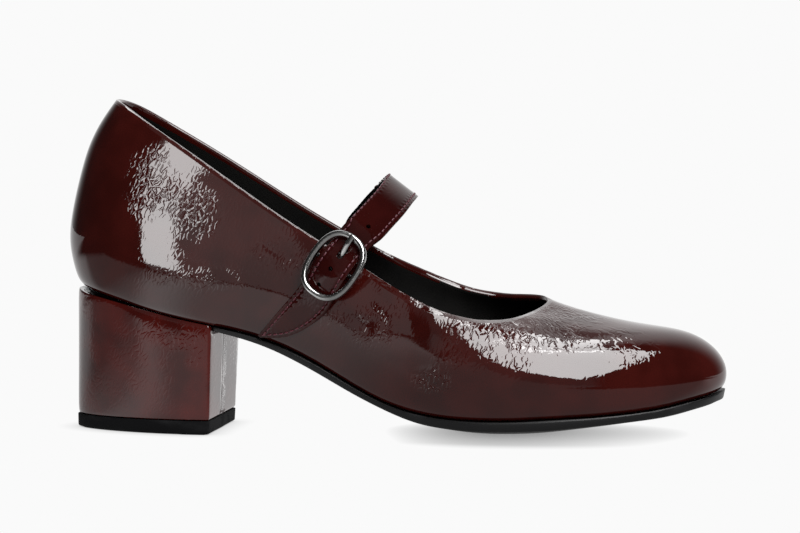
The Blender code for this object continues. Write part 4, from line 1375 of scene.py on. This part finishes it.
@dataclass
class Studio:
    """A pale table in a white-backed studio with dark sides, seven area lights, and the camera.

    What the room and the table show in reflections is set apart from how they look to the camera. Only the
    table and the room do this, never a piece of the shoe.
    """

    target: Point = (0.0023, 0.0, 0.0611)
    distance: float = 1.0
    azimuth: float = 9.2
    elevation: float = 3.8
    lens: float = 122.2
    sensor: float = 36.0
    white: float = 0.956
    # the room, as reflections see it: azimuths in degrees, heights as the sine of the elevation
    backdrop: Span = (112.0, 168.0)
    backdrop_glow: float = 1.05
    gap: Span = (173.0, 178.0)
    gap_height: Span = (0.57, 0.74)
    gap_depth: float = 0.8
    card_left: Span = (-20.0, -12.0)
    card_right: Span = (28.0, 34.0)
    horizon: Span = (-0.04, 0.06)
    front: float = 0.42
    front_above: float = 0.4
    dark: float = 0.035
    # the table
    # the painted contact shadow on the glowing table: its darkest level, its reach in metres and its falloff
    painted_shadow_darkest: float = 0.28
    painted_shadow_reach: float = 0.009
    painted_shadow_power: float = 0.52
    table_front: float = 0.25
    table_blur: float = 0.03
    table_side: Span = (0.35, 0.5)
    table_back: Span = (0.05, 0.25)
    dim: float = 0.6
    dim_ahead: Span = (-0.09, 0.0)
    dim_behind: Span = (-0.2, -0.13)
    dim_outer_side: Span = (-0.03, 0.02)
    gleam_slant: float = -0.24
    gleam_start: Span = (-0.128, -0.102)
    gleam_end: Span = (-0.098, -0.074)
    gleam: float = 0.8
    lights: Sequence[Softbox] = (
        Softbox("vamp_softbox", (0.63, -1.05, 0.94), (68, 57), -55, (0.6, 2.0), 12.0, spares="instep_strap"),
        Softbox("strap_fill", (0.63, -1.05, 0.94), (68, 57), -55, (0.6, 2.0), 7.0, "instep_strap", False),
        Softbox("throat_strip", (0.095, -0.005, 0.25), (0, 90), 0, (0.035, 0.18), 11.0, "crinkled_upper"),
        Softbox("shoulder_strip", (0.13, -0.03, 0.25), (0, 90), 0, (0.03, 0.06), 11.0, "crinkled_upper"),
        Softbox("topline_strip", (-0.05, 0.03, 0.26), (0, 90), 0, (0.17, 0.06), 11.0, "crinkled_upper"),
        Softbox("waist_card", (-0.13, -0.245, 0.13), (0, 0), 0, (0.09, 0.24), 0.55, "crinkled_upper"),
        Softbox("quarter_strip", (-0.105, -0.105, 0.1), (-18, 15), -5, (0.02, 0.11), 10.5, "crinkled_upper"),
    )

    def build(self) -> None:
        """Sets up camera, lights, surroundings and floor."""
        self.place_camera()
        for light in self.lights:
            light.build()
        self.surround()
        self.lay_floor()
        bpy.context.scene.view_settings.view_transform = "Standard"

    def place_camera(self) -> None:
        """Puts the camera low on the outer side, a little towards the toe."""
        camera = bpy.data.cameras.new("camera")
        camera.lens, camera.sensor_width = self.lens, self.sensor
        holder = bpy.data.objects.new("camera", camera)
        bpy.context.scene.collection.objects.link(holder)
        away = direction(self.azimuth, self.elevation)
        holder.location = Vector(self.target) + away * self.distance
        holder.rotation_euler = (-away).to_track_quat("-Z", "Y").to_euler()
        bpy.context.scene.camera = holder

    def room(self, tree: bpy.types.NodeTree, towards: bpy.types.NodeSocket) -> bpy.types.Node:
        """Works out how bright the room is: white behind the table, grey in front, dark at the sides.

        Args:
            tree: the node tree.
            towards: the direction, from the middle of the table.

        Returns:
            A node that gives the brightness.
        """
        x, y, z = add(tree, "SeparateXYZ", [towards]).outputs
        outwards = add(tree, "Math", [y, -1.0], operation="MULTIPLY")
        azimuth = add(tree, "Math", [x, outwards], operation="ARCTAN2")
        turned = add(tree, "Math", [azimuth], operation="ABSOLUTE")
        behind = add(tree, "MapRange", [turned, *radians(self.backdrop), 0.0, self.backdrop_glow], **SMOOTH)
        gap = add(tree, "MapRange", [turned, *radians(self.gap)], **SMOOTH)
        high = add(tree, "MapRange", [z, *self.gap_height, 0.0, self.gap_depth], **SMOOTH)
        gap = add(tree, "Math", [gap, high], operation="MULTIPLY")
        beside = add(tree, "Math", [1.0, gap], operation="SUBTRACT")
        behind = add(tree, "Math", [behind, beside], operation="MULTIPLY")
        left = add(tree, "MapRange", [azimuth, *radians(self.card_left)], **SMOOTH)
        right = add(tree, "MapRange", [azimuth, *radians(self.card_right), 1.0, 0.0], **SMOOTH)
        card = add(tree, "Math", [left, right], operation="MULTIPLY")
        above = self.front_above * self.front
        front = add(tree, "MapRange", [z, *self.horizon, self.front, above], **SMOOTH)
        glow = add(tree, "Math", [card, front, self.dark], operation="MULTIPLY_ADD")
        return add(tree, "Math", [behind, glow], operation="ADD")

    def surround(self) -> None:
        """Makes the world: plain white to look at, a dim studio to reflect."""
        world = bpy.data.worlds.new("studio")
        bpy.context.scene.world = world
        tree = cleared_tree(world)
        glow = self.room(tree, add(tree, "TexCoord").outputs["Generated"])
        seen = add(tree, "LightPath").outputs["Is Camera Ray"]
        level = add(tree, "Mix", {"Factor": seen, FLOAT_A: glow, FLOAT_B: self.white}, data_type="FLOAT")
        colour = add(tree, "CombineColor", [level] * 3)
        background = add(tree, "Background", {"Color": colour, "Strength": 1.0})
        add(tree, "OutputWorld", {"Surface": background})

    def lay_floor(self) -> None:
        """Lays the table, a hair below the shoe."""
        bpy.ops.object.select_all(action="DESELECT")
        bpy.ops.mesh.primitive_plane_add(size=24.0, location=(0.0, 0.0, -0.05 * MM))
        floor = bpy.context.active_object
        floor.name = "studio_floor"
        bpy.ops.object.transform_apply(location=True)
        floor.data.materials.append(self.table_finish())

    def table_finish(self) -> bpy.types.Material:
        """Builds the white table: it glows evenly, with a painted contact shadow close to what stands on it.

        Returns:
            The finished material.
        """
        material = bpy.data.materials.new("white_table")
        tree = cleared_tree(material)
        coords = add(tree, "TexCoord").outputs["Object"]
        x, y, _ = add(tree, "SeparateXYZ", [coords]).outputs
        glossy = add(tree, "LightPath").outputs["Is Glossy Ray"]
        # painted contact shadow: ambient occlusion darkens the glowing table near the shoe, down to the
        # darkest level
        painted_shade = add(tree, "AmbientOcclusion", {"Distance": self.painted_shadow_reach}, samples=32).outputs["AO"]
        painted_shade = add(tree, "Math", [painted_shade, self.painted_shadow_power], operation="POWER")
        lit = add(tree, "Math", [painted_shade, self.white - self.painted_shadow_darkest, self.painted_shadow_darkest], operation="MULTIPLY_ADD")
        dimmed = add(tree, "Math", [glossy, self.dimmer(tree, x, y)], operation="MULTIPLY")
        left = add(tree, "Math", [1.0, dimmed], operation="SUBTRACT")
        lit = add(tree, "Math", [lit, left], operation="MULTIPLY")
        hidden = add(tree, "Math", [glossy, self.off_table(tree, x, y)], operation="MULTIPLY")
        room = self.room(tree, coords)
        level = add(tree, "Mix", {"Factor": hidden, FLOAT_A: lit, FLOAT_B: room}, data_type="FLOAT")
        colour = add(tree, "CombineColor", [level] * 3)
        glow = add(tree, "Emission", {"Color": colour, "Strength": 1.0})
        add(tree, "OutputMaterial", {"Surface": glow})
        return material

    def off_table(
        self, tree: bpy.types.NodeTree, x: bpy.types.NodeSocket, y: bpy.types.NodeSocket
    ) -> bpy.types.Node:
        """Works out where reflections see the room in place of the endless floor.

        Args:
            tree: the node tree.
            x: how far forward a place is, in metres.
            y: how far to the inner side it is.

        Returns:
            A node that gives 1 off the table and 0 on it.
        """
        off, on = -self.table_front - self.table_blur, -self.table_front + self.table_blur
        beyond = add(tree, "MapRange", [y, off, on, 1.0, 0.0], **SMOOTH)
        aside = add(tree, "Math", [x], operation="ABSOLUTE")
        aside = add(tree, "MapRange", [aside, *self.table_side], **SMOOTH)
        ahead = add(tree, "MapRange", [y, *self.table_back, 1.0, 0.0], **SMOOTH)
        aside = add(tree, "Math", [aside, ahead], operation="MULTIPLY")
        return add(tree, "Math", [beyond, aside], operation="MAXIMUM")

    def dimmer(
        self, tree: bpy.types.NodeTree, x: bpy.types.NodeSocket, y: bpy.types.NodeSocket
    ) -> bpy.types.Node:
        """Works out how much darker reflections see the table, less a slanting gleam at the heel.

        Args:
            tree: the node tree.
            x: how far forward a place is, in metres.
            y: how far to the inner side it is.

        Returns:
            A node that gives 0 where the table is as bright as it looks.
        """
        ahead = add(tree, "MapRange", [x, *self.dim_ahead, 0.0, self.dim], **SMOOTH)
        behind = add(tree, "MapRange", [x, *self.dim_behind, self.dim, 0.0], **SMOOTH)
        dimmer = add(tree, "Math", [ahead, behind], operation="MAXIMUM")
        outer_side = add(tree, "MapRange", [y, *self.dim_outer_side, 1.0, 0.0], **SMOOTH)
        dimmer = add(tree, "Math", [dimmer, outer_side], operation="MULTIPLY")
        slant = add(tree, "Math", [y, self.gleam_slant, x], operation="MULTIPLY_ADD")
        start = add(tree, "MapRange", [slant, *self.gleam_start], **SMOOTH)
        end = add(tree, "MapRange", [slant, *self.gleam_end, self.gleam, 0.0], **SMOOTH)
        gleam = add(tree, "Math", [start, end], operation="MULTIPLY")
        return add(tree, "Math", [dimmer, gleam], operation="SUBTRACT")


def main() -> None:
    """Builds the shoe on its frame, then the studio round it."""
    logging.basicConfig(level=logging.INFO, format="%(name)s %(message)s")
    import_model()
    for assembly in (Upper(), Heel(), Soles(), Strap(), Buckle()):
        assembly.build()
        LOG.info("built %s", type(assembly).__name__)
    Studio().build()
    bpy.context.view_layer.update()


if __name__ == "__main__":
    main()
